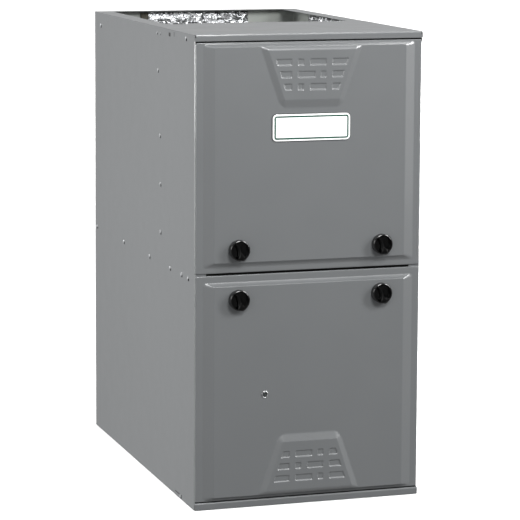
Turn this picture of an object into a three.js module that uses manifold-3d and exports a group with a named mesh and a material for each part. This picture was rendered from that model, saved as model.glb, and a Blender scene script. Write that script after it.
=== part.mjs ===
// Forced air gas furnace in an upflow cabinet, millimetres, +Z up, the doors facing -Y.
// The origin is on the floor, under the middle of the overall box.

import * as THREE from 'three';
import { mergeVertices } from 'three/addons/utils/BufferGeometryUtils.js';
import Module from 'manifold-3d';

const wasm = await Module();
wasm.setup();

// ---------------------------------------------------------------- driving dimensions

const SHEET = 1; // painted sheet of the cabinet
const GAP = 0.3; // clearance where two pieces touch
const BEND = 2.5; // outside radius of a bend

const CASE_W = 445;
const CASE_H = 889;
const CASE_D = 749; // front flange face to back face

const DOOR_W = 442;
const DOOR_PROUD = 2.5; // door margin ahead of the cabinet's front flanges
const FIELD_RISE = 7; // raised pillow of a door
const BOSS_RISE = 3.5; // raised trapezoid on the pillow
const KNOB_H = 14;

const FRONT_TOTAL = DOOR_PROUD + FIELD_RISE + KNOB_H;
const FRONT = (FRONT_TOTAL - CASE_D) / 2; // y of the front flange face
const BACK = FRONT + CASE_D;
const SIDE = CASE_W / 2;
const INSIDE = SIDE - SHEET - 0.6; // half width free for inner sheets

const FRONT_FLANGE = 22;
const TOP_FLANGE = 34; // beside the supply opening
const REAR_FLANGE = 20; // behind it
const BASE_FLANGE = 25;

const COVER_BACK = -41; // rear edge of the top cover, front edge of the supply opening
const COVER_LIP = 12;
const RAIL_H = 13.5;
const CELL_Y = -128; // front face of the panel between burners and heat exchanger
const DECK_Z = 434; // top face of the blower deck

const UPPER_DOOR = {
  bottom: 445.6, top: 875.5, marginBottom: 13, marginTop: 3, slopeBottom: 20, slopeTop: 7.5,
};
const LOWER_DOOR = {
  bottom: 14.6, top: 443.2, marginBottom: 1.5, marginTop: 12.5, slopeBottom: 8.5, slopeTop: 8.5,
};
const MARGIN_SIDE = 13;
const SLOPE_SIDE = 18;
const MARGIN_Y = FRONT - DOOR_PROUD;
const FIELD_Y = MARGIN_Y - FIELD_RISE;
const BOSS_Y = FIELD_Y - BOSS_RISE;

const BOSS = { wide: 86, narrow: 53.5, flankSide: 18, height: 97, flankEnd: 14 };
const DASH = { height: 13.5, pitch: 23, depth: 2, wall: 2, first: 25, edgeGap: 7.5 };

const KNOB_X = 140.8;
const UPPER_KNOB_Z = 490.3;
const LOWER_KNOB_Z = 396.9;
const KNOB_R = 19.2;
const LATCH_WEB_Y = FRONT + 8; // front face of the centre rail that the cams pull against
const SIGHT = { x: -88, z: 215, r: 6 };

const BLOWER = { y: 60, z: 222, wheelR: 127, wheelHalf: 102, caseHalf: 126, mouth: [-170, 16] };
const INDUCER = { x: -20, z: 588, wheelR: 56, backY: -176, depth: 46 };
const VENT_Y = INDUCER.backY - INDUCER.depth / 2;
const VENT_Z = INDUCER.z + 52;
const GAS_Y = -300; // the gas pipe's axis where it leaves the right side
const DRAIN = { y: -170, z: 490 };
const BURNER_Z = 762;
const BURNER_PITCH = 76;
const MANIFOLD_Y = -284;

// ---------------------------------------------------------------- finishes

const finish = (color, roughness, metalness) => ({ color, roughness, metalness });
const PAINT = finish(0x8b8e90, 0.45, 0.1);
const GALVANISED = finish(0xb4b7b8, 0.45, 0.8);
const FOIL = finish(0xc9ccce, 0.25, 0.9);
const ALUMINISED = finish(0x9b9d9e, 0.4, 0.85);
const BLACK_PLASTIC = finish(0x0c0c0d, 0.35, 0);
const GREY_PLASTIC = finish(0x4c5054, 0.55, 0);
const BLACK_IRON = finish(0x1d1e20, 0.6, 0.5);
const CAST_ALUMINIUM = finish(0xa7a9aa, 0.5, 0.85);
const MOTOR_BLACK = finish(0x232426, 0.5, 0.4);
const CERAMIC = finish(0xd8d2c2, 0.7, 0);
const RUBBER = finish(0x151515, 0.8, 0);
const WHITE = finish(0xf2f3f2, 0.3, 0);
const GLASS = finish(0x30373a, 0.05, 0);
const BOARD_GREEN = finish(0x1f5a36, 0.5, 0);
const RED = finish(0xa02018, 0.4, 0);
const CHROME = finish(0xd0d2d3, 0.15, 1);

// ---------------------------------------------------------------- solids

const v2 = (x, y) => new THREE.Vector2(x, y);
const v3 = (x, y, z) => new THREE.Vector3(x, y, z);

function toSolid(geometry) {
  const plain = geometry.index ? geometry.toNonIndexed() : geometry.clone();
  plain.deleteAttribute('normal');
  plain.deleteAttribute('uv');
  const merged = outward(mergeVertices(plain, 1e-4));
  return new wasm.Manifold(new wasm.Mesh({
    numProp: 3,
    vertProperties: new Float32Array(merged.attributes.position.array),
    triVerts: new Uint32Array(merged.index.array),
  }));
}

function toGeometry(solid) {
  const mesh = solid.getMesh();
  const geometry = new THREE.BufferGeometry();
  geometry.setAttribute('position', new THREE.BufferAttribute(mesh.vertProperties, 3));
  geometry.setIndex(new THREE.BufferAttribute(mesh.triVerts, 1));
  return geometry;
}

const asSolid = (piece) => (piece.isBufferGeometry ? toSolid(piece) : piece);

function join(...pieces) {
  return pieces.map(asSolid).reduce((whole, piece) => whole.add(piece));
}

function cut(base, ...tools) {
  return tools.map(asSolid).reduce((rest, tool) => rest.subtract(tool), asSolid(base));
}

function block(x0, x1, y0, y1, z0, z1) {
  const box = new THREE.BoxGeometry(x1 - x0, y1 - y0, z1 - z0);
  return box.translate((x0 + x1) / 2, (y0 + y1) / 2, (z0 + z1) / 2);
}

// Prisms: an outline in one plane, drawn out along the third axis between two values.
function prism(outline, from, to) {
  const solid = new THREE.ExtrudeGeometry(new THREE.Shape(outline), {
    depth: to - from, bevelEnabled: false,
  });
  return solid.translate(0, 0, from);
}

// outline in (x, y), along z
const prismZ = (outline, z0, z1) => prism(outline, z0, z1);
// outline in (x, z), along y
const prismY = (outline, y0, y1) => prism(outline, -y1, -y0).rotateX(Math.PI / 2);
// outline in (y, z), along x
const prismX = (outline, x0, x1) => (
  prism(outline, x0, x1).rotateY(Math.PI / 2).rotateX(Math.PI / 2)
);

// Round bars along an axis.
const barZ = (x, y, r, z0, z1, sides = 20) => (
  new THREE.CylinderGeometry(r, r, z1 - z0, sides).rotateX(Math.PI / 2)
    .translate(x, y, (z0 + z1) / 2)
);
const barY = (x, z, r, y0, y1, sides = 20) => (
  new THREE.CylinderGeometry(r, r, y1 - y0, sides).translate(x, (y0 + y1) / 2, z)
);
const barX = (y, z, r, x0, x1, sides = 20) => (
  new THREE.CylinderGeometry(r, r, x1 - x0, sides).rotateZ(Math.PI / 2)
    .translate((x0 + x1) / 2, y, z)
);

// Revolved about an axis along Y through (x, z): each profile point is [radius, y].
function turnedY(x, z, profile, sides = 24) {
  const points = profile.map(([r, y]) => v2(r, y));
  return new THREE.LatheGeometry(points, sides).translate(x, 0, z);
}

// A round bar swept along a curve.
function swept(curve, radius, steps, sides = 8) {
  const ring = [];
  for (let i = 0; i < sides; i += 1) {
    const angle = (2 * Math.PI * i) / sides;
    ring.push(v2(radius * Math.cos(angle), radius * Math.sin(angle)));
  }
  return new THREE.ExtrudeGeometry(new THREE.Shape(ring), {
    steps, bevelEnabled: false, extrudePath: curve,
  });
}

// ---------------------------------------------------------------- outlines

// Polygon corners rounded by true arcs; every corner gives the same number of points.
function rounded(corners, radius, segments = 3) {
  const outline = [];
  corners.forEach((corner, i) => {
    const before = corners[(i + corners.length - 1) % corners.length];
    const after = corners[(i + 1) % corners.length];
    const r = Array.isArray(radius) ? radius[i] : radius;
    outline.push(...arcCorner(before, corner, after, r, segments));
  });
  return outline;
}

function arcCorner(before, corner, after, radius, segments) {
  const a = before.clone().sub(corner).normalize();
  const b = after.clone().sub(corner).normalize();
  const half = Math.acos(THREE.MathUtils.clamp(a.dot(b), -1, 1)) / 2;
  const middle = a.clone().add(b).normalize();
  const centre = corner.clone().addScaledVector(middle, radius / Math.sin(half));
  const start = corner.clone().addScaledVector(a, radius / Math.tan(half)).sub(centre);
  const turn = Math.sign(a.cross(b)) * (2 * half - Math.PI);
  const points = [];
  for (let i = 0; i <= segments; i += 1) {
    const spoke = start.clone().rotateAround(v2(0, 0), (turn * i) / segments);
    points.push(centre.clone().add(spoke));
  }
  return points;
}

const rectangle = (x0, x1, y0, y1) => [v2(x0, y0), v2(x1, y0), v2(x1, y1), v2(x0, y1)];

// Section of a bent sheet: a path along one face, thickened to its left by the sheet.
function bentSheet(path, thickness = SHEET, radius = BEND, segments = 2) {
  const offset = path.map((point, i) => {
    const back = path[Math.max(i - 1, 0)];
    const ahead = path[Math.min(i + 1, path.length - 1)];
    const into = point.clone().sub(back);
    const out = ahead.clone().sub(point);
    const a = (i === 0 ? out : into).clone().normalize();
    const b = (i === path.length - 1 ? into : out).clone().normalize();
    const normal = v2(-a.y - b.y, a.x + b.x).normalize();
    const left = v2(-a.y, a.x);
    return point.clone().addScaledVector(normal, thickness / normal.dot(left));
  });
  const side = (points, onPath) => points.flatMap((point, i) => {
    if (i === 0 || i === points.length - 1) {
      return [point];
    }
    const turn = point.clone().sub(points[i - 1]).cross(points[i + 1].clone().sub(point));
    const inner = onPath === (turn < 0);
    const r = inner ? radius - thickness : radius;
    return arcCorner(points[i - 1], point, points[i + 1], r, segments);
  });
  return [...side(path, true), ...side(offset, false).reverse()];
}

// A closed skin through sections of equal point counts, capped at both ends.
function loft(sections) {
  const count = sections[0].length;
  const corners = sections.flat();
  const triangles = [];
  for (let s = 0; s < sections.length - 1; s += 1) {
    for (let i = 0; i < count; i += 1) {
      const a = s * count + i;
      const b = s * count + ((i + 1) % count);
      triangles.push(a, b, a + count, b, b + count, a + count);
    }
  }
  [0, sections.length - 1].forEach((s) => {
    const flat = sections[s].map((p) => v2(p.x, p.z));
    const faces = THREE.ShapeUtils.triangulateShape(flat, []);
    const turned = THREE.ShapeUtils.isClockWise(flat) === (s === 0);
    faces.forEach(([a, b, c]) => {
      const face = turned ? [a, b, c] : [a, c, b];
      triangles.push(...face.map((k) => k + s * count));
    });
  });
  const geometry = new THREE.BufferGeometry();
  geometry.setAttribute('position', new THREE.BufferAttribute(
    new Float32Array(corners.flatMap((p) => [p.x, p.y, p.z])), 3,
  ));
  geometry.setIndex(triangles);
  return outward(geometry);
}

// Faces are turned over where they enclose a negative volume.
function outward(geometry) {
  const position = geometry.attributes.position;
  const index = geometry.index.array;
  const corner = (k) => v3().fromBufferAttribute(position, k);
  let volume = 0;
  for (let i = 0; i < index.length; i += 3) {
    const [a, b, c] = [corner(index[i]), corner(index[i + 1]), corner(index[i + 2])];
    volume += a.dot(b.cross(c));
  }
  if (volume < 0) {
    for (let i = 0; i < index.length; i += 3) {
      [index[i], index[i + 1]] = [index[i + 1], index[i]];
    }
  }
  return geometry;
}

const atY = (outline, y) => outline.map((p) => v3(p.x, y, p.y));

// ---------------------------------------------------------------- the group

const furnace = new THREE.Group();

function add(name, piece, look) {
  const geometry = toGeometry(asSolid(piece));
  const mesh = new THREE.Mesh(geometry, new THREE.MeshStandardMaterial(look));
  mesh.name = name;
  furnace.add(mesh);
  return mesh;
}

// ---------------------------------------------------------------- cabinet

// One sheet wrapped round left side, back and right side, with flanges turned in.
function casingWrapper() {
  const lip = SIDE - FRONT_FLANGE;
  const plan = bentSheet([
    v2(lip, FRONT), v2(SIDE, FRONT), v2(SIDE, BACK),
    v2(-SIDE, BACK), v2(-SIDE, FRONT), v2(-lip, FRONT),
  ]);
  const walls = prismZ(plan, 0, CASE_H);
  const turnedIn = (width, rear, front, z0) => cut(
    block(-SIDE + 0.2, SIDE - 0.2, front, BACK - 0.2, z0, z0 + SHEET),
    block(-SIDE + width, SIDE - width, front - 1, BACK - rear, z0 - 1, z0 + SHEET + 1),
  );
  const top = turnedIn(TOP_FLANGE, REAR_FLANGE, COVER_BACK + GAP, CASE_H - SHEET);
  const base = turnedIn(BASE_FLANGE, BASE_FLANGE, FRONT + 45, 0);
  const underCover = block(
    -SIDE - 1, SIDE + 1, FRONT - 1, COVER_BACK + GAP, CASE_H - SHEET - GAP, CASE_H + 1,
  );
  const underLip = block(-SIDE - 1, SIDE + 1, FRONT - 1, FRONT + 3, CASE_H - 3.5, CASE_H + 1);
  const railNotch = block(-SIDE + SHEET, SIDE - SHEET, FRONT - 1, FRONT + 3, -1, RAIL_H + 1);
  const sideHoles = [
    barX(GAS_Y, BURNER_Z, 22, SIDE - 4, SIDE + 4, 12),
    barX(VENT_Y, VENT_Z, 34, SIDE - 4, SIDE + 4, 14),
    barX(GAS_Y, 300, 11, SIDE - 4, SIDE + 4, 10), // line voltage
    barX(GAS_Y, 250, 11, SIDE - 4, SIDE + 4, 10), // thermostat wires
    barX(DRAIN.y, DRAIN.z, 13, SIDE - 4, SIDE + 4, 10),
  ];
  return cut(join(walls, top, base), underCover, underLip, railNotch, ...sideHoles);
}

function topCover() {
  const overhang = 1;
  const lipY = FRONT - SHEET - GAP;
  const section = bentSheet([
    v2(COVER_BACK, CASE_H), v2(lipY, CASE_H), v2(lipY, CASE_H - COVER_LIP),
  ]);
  const half = SIDE + overhang;
  const relief = (side) => block(
    side * (half - 0.9) - 1.2, side * (half - 0.9) + 1.2, lipY - 1, lipY + 3,
    CASE_H - 3.5, CASE_H + 1,
  );
  const slit = block(-176, -152, COVER_BACK - 14, COVER_BACK - 11, CASE_H - 3, CASE_H + 1);
  return cut(prismX(section, -half, half), relief(-1), relief(1), slit);
}

function baseRail() {
  const face = FRONT - SHEET - GAP;
  const section = bentSheet([
    v2(FRONT + 12, RAIL_H), v2(face, RAIL_H), v2(face, 0), v2(FRONT + 44, 0),
  ]);
  const clear = (side) => block(
    side > 0 ? INSIDE : -SIDE - 1, side > 0 ? SIDE + 1 : -INSIDE,
    FRONT - GAP, FRONT + 50, -1, 20,
  );
  return cut(prismX(section, -SIDE, SIDE), clear(-1), clear(1));
}

// Cross rail behind the gap between the doors; the latch cams pull against its two edges.
function centreRail() {
  const web = block(-INSIDE, INSIDE, LATCH_WEB_Y, LATCH_WEB_Y + SHEET, 420, 470);
  const ledge = block(-INSIDE, INSIDE, LATCH_WEB_Y + 0.5, LATCH_WEB_Y + 34, 444, 444 + SHEET);
  return join(web, ledge);
}

function blowerDeck() {
  const section = bentSheet([
    v2(INSIDE, DECK_Z - 20), v2(INSIDE, DECK_Z), v2(-INSIDE, DECK_Z), v2(-INSIDE, DECK_Z - 20),
  ]);
  const deck = prismY(section, LATCH_WEB_Y + SHEET + GAP, BACK - BEND);
  const half = BLOWER.caseHalf - 3;
  const [near, far] = BLOWER.mouth;
  return cut(deck, block(-half, half, BLOWER.y + near, BLOWER.y + far, DECK_Z - 5, DECK_Z + 5));
}

// Panel that carries burners and inducer in front and the heat exchanger behind.
function cellPanel() {
  const plan = bentSheet([
    v2(INSIDE, CELL_Y - 22), v2(INSIDE, CELL_Y + SHEET),
    v2(-INSIDE, CELL_Y + SHEET), v2(-INSIDE, CELL_Y - 22),
  ]);
  const panel = prismZ(plan, DECK_Z + GAP, CASE_H - SHEET - GAP);
  const ports = [-1, 0, 1].map((i) => (
    barY(i * BURNER_PITCH, BURNER_Z, 20, CELL_Y - 4, CELL_Y + 6, 16)
  ));
  const flueWindow = block(-118, 72, CELL_Y - 4, CELL_Y + 6, 492, 558);
  return cut(panel, flueWindow, ...ports);
}

// Foil faced blanket with its long edges rounded over.
function blanket(length, height, thickness) {
  const soft = thickness * 0.45;
  return prism(rounded(rectangle(0, length, 0, thickness), soft, 2), 0, height);
}

function wallBlankets() {
  const thickness = 9;
  const low = DECK_Z + 2;
  const top = CASE_H - 4;
  add('rear_insulation_blanket', blanket(222, top - low, thickness)
    .translate(-106, BACK - SHEET - GAP - thickness, low), FOIL);
  add('right_insulation_blanket', blanket(240, top - low, thickness).rotateZ(Math.PI / 2)
    .translate(SIDE - SHEET - GAP, 45, low), FOIL);
  add('left_insulation_blanket', blanket(240, top - low, thickness).rotateZ(-Math.PI / 2)
    .translate(-SIDE + SHEET + GAP, 285, low), FOIL);
}

// ---------------------------------------------------------------- doors

// Outline steps from the door's back edge over its bend to the raised field; at depth
// `inset` behind the outer skin the same steps give the inner skin.
function doorSkin(door, inset) {
  const half = DOOR_W / 2;
  const edge = rectangle(-half, half, door.bottom, door.top);
  const step = (side, bottom, top, radius) => rounded(
    rectangle(-half + side, half - side, door.bottom + bottom, door.top - top), radius,
  );
  // share of the slope's width, share of its rise: a hollow foot, then a straight flank
  const flank = [[0, 0], [0.28, 0.1], [0.52, 0.38], [1, 1]];
  const y = (depth) => depth + inset;
  const round = 1.4;
  const sections = [
    atY(rounded(edge.map((p) => shrink(p, door, inset)), 2), FRONT - GAP + (inset ? 1 : 0)),
    atY(rounded(edge.map((p) => shrink(p, door, inset)), 2), y(MARGIN_Y + round)),
    atY(step(round + inset * 0.4, round + inset * 0.4, round + inset * 0.4, 2), y(MARGIN_Y)),
    ...flank.map(([across, up]) => atY(
      step(
        MARGIN_SIDE + across * SLOPE_SIDE + inset * 0.15,
        door.marginBottom + across * door.slopeBottom + inset * 0.3,
        door.marginTop + across * door.slopeTop + inset * 0.3,
        16 - 11 * across,
      ),
      y(MARGIN_Y - up * FIELD_RISE),
    )),
  ];
  return loft(sections);
}

function shrink(point, door, inset) {
  const middle = (door.bottom + door.top) / 2;
  return v2(point.x - Math.sign(point.x) * inset, point.y - Math.sign(point.y - middle) * inset);
}

// The raised trapezoid runs out into the slope at the door's far end: `end` is that end's
// height on the field and `away` points from it to the narrow end.
function bossSkin(end, away, inset) {
  const outline = (flankSide, flankEnd, wideEnd) => {
    const narrowEnd = end + away * (BOSS.height + flankEnd);
    return rounded([
      v2(-BOSS.wide - flankSide, wideEnd), v2(BOSS.wide + flankSide, wideEnd),
      v2(BOSS.narrow + flankSide / 2, narrowEnd), v2(-BOSS.narrow - flankSide / 2, narrowEnd),
    ], [2, 2, 9, 9]);
  };
  return loft([
    atY(outline(BOSS.flankSide, BOSS.flankEnd, end - away * 1), FIELD_Y + 1.5 + inset),
    atY(outline(BOSS.flankSide, BOSS.flankEnd, end + away * 0.4), FIELD_Y + inset),
    atY(
      outline(BOSS.flankSide * 0.5, BOSS.flankEnd * 0.45, end + away * 2),
      FIELD_Y - BOSS_RISE * 0.5 + inset,
    ),
    atY(outline(0, 0, end + away * 4), BOSS_Y + inset),
  ]);
}

// Pressed dashes in three rows; odd and even rows put the long dash on opposite sides.
function dashes(end, away, firstLong, inset) {
  const half = DASH.height / 2;
  const flare = (BOSS.wide - BOSS.narrow) / BOSS.height;
  const tools = [];
  for (let row = 0; row < 3; row += 1) {
    const z = end + away * (DASH.first + 4 + row * DASH.pitch);
    const reach = BOSS.wide - flare * Math.abs(z - end - away * 4) - DASH.edgeGap;
    const slant = -away * flare * half;
    const longLeft = (row % 2 === 1) === firstLong;
    const inner = longLeft ? [[-29, 6.5], [15.5, 28]] : [[-29, -16], [-5.5, 28]];
    const spans = [
      [[-reach - slant, -reach + slant], [-39, -39]],
      ...inner.map(([a, b]) => [[a, a], [b, b]]),
      [[38.5, 38.5], [reach + slant, reach - slant]],
    ];
    spans.forEach(([[topLeft, lowLeft], [topRight, lowRight]]) => {
      tools.push(dashTool(
        [v2(lowLeft, z - half), v2(lowRight, z - half), v2(topRight, z + half), v2(topLeft, z + half)],
        inset,
      ));
    });
  }
  return tools;
}

function dashTool(corners, inset) {
  const centre = corners.reduce((sum, p) => sum.add(p), v2(0, 0)).divideScalar(4);
  const towards = (amount) => corners.map((p) => v2(
    p.x - Math.sign(p.x - centre.x) * amount, p.y - Math.sign(p.y - centre.y) * amount,
  ));
  const grow = inset * 0.8;
  return loft([
    atY(towards(-DASH.wall * 0.3 - grow), BOSS_Y - 1 + inset),
    atY(towards(-grow), BOSS_Y + inset),
    atY(towards(DASH.wall - grow), BOSS_Y + DASH.depth + inset),
  ]);
}

function doorPanel(door, end, away, firstLong, holes) {
  const outer = cut(
    join(doorSkin(door, 0), bossSkin(end, away, 0)),
    ...dashes(end, away, firstLong, 0),
  );
  const inner = cut(
    join(doorSkin(door, SHEET), bossSkin(end, away, SHEET)),
    ...dashes(end, away, firstLong, SHEET),
  );
  return cut(outer, inner, ...holes);
}

const doorPad = (low, high) => (
  prismY(rounded(rectangle(-182, 182, low, high), 8, 2), FIELD_Y + SHEET + GAP, FRONT - 1)
);

const shaftHole = (x, z) => barY(x, z, 6, FIELD_Y - 3, FIELD_Y + 4, 10);

function upperDoor() {
  const end = UPPER_DOOR.top - UPPER_DOOR.marginTop - UPPER_DOOR.slopeTop;
  const holes = [shaftHole(-KNOB_X, UPPER_KNOB_Z), shaftHole(KNOB_X, UPPER_KNOB_Z)];
  add('upper_door_panel', doorPanel(UPPER_DOOR, end, -1, true, holes), PAINT);
  const pad = doorPad(520, 745);
  add('upper_door_insulation', pad, FOIL);
}

function lowerDoor() {
  const end = LOWER_DOOR.bottom + LOWER_DOOR.marginBottom + LOWER_DOOR.slopeBottom;
  const sight = barY(SIGHT.x, SIGHT.z, SIGHT.r + 0.5, FIELD_Y - 3, FIELD_Y + 4, 16);
  const holes = [shaftHole(-KNOB_X, LOWER_KNOB_Z), shaftHole(KNOB_X, LOWER_KNOB_Z), sight];
  add('lower_door_panel', doorPanel(LOWER_DOOR, end, 1, false, holes), PAINT);
  const pad = doorPad(142, 370);
  add('lower_door_insulation', cut(
    pad, barY(SIGHT.x, SIGHT.z, 12, FIELD_Y, FRONT + 2, 12),
  ), FOIL);
}

function badgePlate() {
  const outline = (grow) => rounded(rectangle(-76 - grow, 76 + grow, 690 - grow, 740 + grow), 8, 3);
  return loft([
    atY(outline(0), FIELD_Y - GAP),
    atY(outline(0), FIELD_Y - 1.6),
    atY(outline(-1), FIELD_Y - 2.2),
  ]);
}

function sightGlass() {
  const r = SIGHT.r;
  const ring = turnedY(SIGHT.x, SIGHT.z, [
    [r - 1.6, FIELD_Y + 3], [r, FIELD_Y + 3], [r, FIELD_Y - GAP], [r + 1.6, FIELD_Y - GAP],
    [r + 1.6, FIELD_Y - 1], [r + 0.6, FIELD_Y - 1.8], [r - 1.6, FIELD_Y - 1.8], [r - 1.6, FIELD_Y + 3],
  ], 14);
  add('sight_glass_bezel', ring, CHROME);
  const lens = turnedY(SIGHT.x, SIGHT.z, [
    [0, FIELD_Y + 2], [r - 1.9, FIELD_Y + 2], [r - 1.9, FIELD_Y - 0.6], [0, FIELD_Y - 1],
  ], 12);
  add('sight_glass_lens', lens, GLASS);
}

// Quarter turn knob: a disc scooped from both sides to leave an hourglass grip, with a
// pointer tab on its rim, and a shaft through the door.
function knob(x, z) {
  const face = FIELD_Y - GAP;
  const disc = turnedY(0, 0, [
    [0, face], [KNOB_R, face], [KNOB_R, face - 7], [KNOB_R - 1, face - KNOB_H + 1.6],
    [KNOB_R - 3, face - KNOB_H + GAP], [0, face - KNOB_H + GAP],
  ], 18);
  const scoopR = 19;
  const scoop = (side) => barY(side * (scoopR + 4.2), 0, scoopR, face - KNOB_H - 2, face - 4.5, 16);
  const inRim = barY(0, 0, KNOB_R - 2, face - KNOB_H - 3, face - 3, 18);
  const hollow = join(scoop(-1), scoop(1)).intersect(asSolid(inRim));
  const grip = toGeometry(cut(disc, hollow)).rotateY(THREE.MathUtils.degToRad(-14));
  const pointer = prismY(
    rounded([v2(-5, -14), v2(-3.2, -24), v2(3.2, -24), v2(5, -14)], [0.5, 1.5, 1.5, 0.5], 1),
    face - 9, face - 1,
  ).rotateY(THREE.MathUtils.degToRad(-28));
  const shaft = barY(0, 0, 5, face - 2, FIELD_Y + 14, 8);
  return toGeometry(join(grip, pointer, shaft)).translate(x, 0, z);
}

// Cam blade on the knob's shaft; `aim` is the direction of its finger at rest.
function latchCam(x, z, aim) {
  const y0 = FIELD_Y + 14 + GAP;
  const y1 = LATCH_WEB_Y + SHEET + 3.4;
  const finger = [
    v2(-9, -8), v2(10, -7), v2(30, -5), v2(30, 5), v2(10, 7), v2(-9, 8),
  ].map((p) => v2(p.x * aim, p.y));
  const blade = prismY(rounded(finger, 2, 1), y1 - 2.4, y1);
  const hub = barY(0, 0, 8, y0, y1 - 0.2, 10);
  return toGeometry(join(blade, hub)).translate(x, 0, z);
}

function doorFittings() {
  [['upper', UPPER_KNOB_Z, 1], ['lower', LOWER_KNOB_Z, -1]].forEach(([level, z, aim]) => {
    [['left', -KNOB_X], ['right', KNOB_X]].forEach(([side, x]) => {
      add(`${level}_${side}_knob`, knob(x, z), BLACK_PLASTIC);
      add(`${level}_${side}_latch_cam`, latchCam(x, z, aim), GALVANISED);
    });
  });
  add('badge_plate', badgePlate(), WHITE);
  sightGlass();
}

// ---------------------------------------------------------------- burners and gas train

const BURNER_FRONT = -222;
const PROBE_X = 114; // igniter and flame sensor, either side of the burners

function burnerBox() {
  const shell = block(-128, 128, BURNER_FRONT, CELL_Y - GAP, BURNER_Z - 42, BURNER_Z + 42);
  const hollow = block(
    -127, 127, BURNER_FRONT + SHEET, CELL_Y + 5, BURNER_Z - 41, BURNER_Z + 41,
  );
  const throats = [-1, 0, 1].map((i) => (
    barY(i * BURNER_PITCH, BURNER_Z, 17, BURNER_FRONT - 3, BURNER_FRONT + 4, 12)
  ));
  const probes = [-1, 1].map((i) => (
    barY(i * PROBE_X, BURNER_Z, 7, BURNER_FRONT - 3, BURNER_FRONT + 4, 8)
  ));
  const rim = cut(
    block(-140, 140, CELL_Y - GAP - SHEET, CELL_Y - GAP, BURNER_Z - 54, BURNER_Z + 54),
    block(-127, 127, CELL_Y - 5, CELL_Y + 5, BURNER_Z - 41, BURNER_Z + 41),
  );
  return cut(join(shell, rim), hollow, ...throats, ...probes);
}

// Inshot burner: bell mouth, throat and flared head, clamped by its collar on the box.
function inshotBurner(x) {
  const collar = BURNER_FRONT - GAP;
  return turnedY(x, BURNER_Z, [
    [13, -262], [17.5, -260], [10.5, -240], [10.5, collar - 3], [22, collar - 3],
    [22, collar], [13, collar], [13, -196], [17, -172], [17, -156], [15, -156], [8.5, -198],
    [8.5, -240], [13, -262],
  ], 10);
}

function gasManifold() {
  const z = BURNER_Z;
  const pipe = barX(MANIFOLD_Y, z, 11, -96, VALVE.x0 - 5 - GAP, 12);
  const cap = barX(MANIFOLD_Y, z, 14, -104, -92, 6);
  const spuds = [-1, 0, 1].map((i) => join(
    barY(i * BURNER_PITCH, z, 8, MANIFOLD_Y + 5, MANIFOLD_Y + 14, 6),
    barY(i * BURNER_PITCH, z, 5, MANIFOLD_Y + 13, -266, 6),
  ));
  const arm = (x) => join(
    block(x - 1, x + 1, MANIFOLD_Y, BURNER_FRONT - GAP, z - 9, z + 9),
    block(x - 1, x + 16, BURNER_FRONT - GAP - 2, BURNER_FRONT - GAP, z - 24, z - 8),
    block(x - 1, x + 1, BURNER_FRONT - 12, BURNER_FRONT - GAP, z - 24, z),
  );
  return join(pipe, cap, ...spuds, arm(-42), arm(30));
}

const VALVE = { x0: 118, x1: 184, y0: -328, y1: -262, z0: 722, z1: 794 };

function gasValve() {
  const { x0, x1, y0, y1, z0, z1 } = VALVE;
  const body = prismZ(rounded(rectangle(x0, x1, y0 + 10, y1), 8, 2), z0, z1);
  const cover = prismY(rounded(rectangle(x0 + 6, x1 - 6, z0 + 6, z1 - 6), 6, 2), y0, y0 + 12);
  const regulator = barZ(x0 + 18, -290, 9, z1 - 1, z1 + 12, 12);
  const inletHex = barX(GAS_Y, BURNER_Z, 17, x1 - 1, x1 + 8, 6);
  const outletHex = barX(MANIFOLD_Y, BURNER_Z, 15, x0 - 5, x0 + 1, 6);
  const switchPocket = block(x0 + 30, x0 + 54, y0 - 1, y0 + 9.5, z0 + 17, z0 + 41);
  return cut(join(body, cover, regulator, inletHex, outletHex), switchPocket);
}

const SWITCH_PIVOT = { x: 160, y: -325, z: 751 };

function gasValveSwitch() {
  const { x, y, z } = SWITCH_PIVOT;
  return prismX([
    v2(y + 2.4, z - 6), v2(y + 2.4, z + 6), v2(y - 3, z + 7), v2(y - 1.4, z), v2(y - 7, z - 7),
  ], x - 10, x + 10);
}

function gasSupplyPipe() {
  const nipple = barX(GAS_Y, BURNER_Z, 10.7, VALVE.x1 + 8 + GAP, SIDE + 0.4, 14);
  const union = barX(GAS_Y, BURNER_Z, 16, 200, 214, 8);
  const bore = barX(GAS_Y, BURNER_Z, 7.9, 214, SIDE + 2, 14);
  return cut(join(nipple, union), bore);
}

// Rod through the burner box on a small ceramic body.
function probe(x, rodRadius) {
  const face = BURNER_FRONT - GAP;
  const plate = block(x - 8, x + 8, face - 1.5, face, BURNER_Z - 14, BURNER_Z + 14);
  return join(
    plate,
    barY(x, BURNER_Z, 5.5, face - 24, BURNER_FRONT + 12, 10),
    barY(x, BURNER_Z, rodRadius, BURNER_FRONT + 10, BURNER_FRONT + 54, 6),
  );
}

function burners() {
  add('burner_box', burnerBox(), ALUMINISED);
  [-1, 0, 1].forEach((i) => {
    add(`inshot_burner_${i + 2}`, inshotBurner(i * BURNER_PITCH), ALUMINISED);
  });
  add('gas_manifold', gasManifold(), BLACK_IRON);
  add('gas_valve', gasValve(), CAST_ALUMINIUM);
  add('gas_valve_switch', gasValveSwitch(), RED);
  add('gas_supply_pipe', gasSupplyPipe(), BLACK_IRON);
  add('hot_surface_igniter', probe(PROBE_X, 3), CERAMIC);
  add('flame_sensor', probe(-PROBE_X, 1.8), CERAMIC);
}

// ---------------------------------------------------------------- heat exchanger

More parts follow.
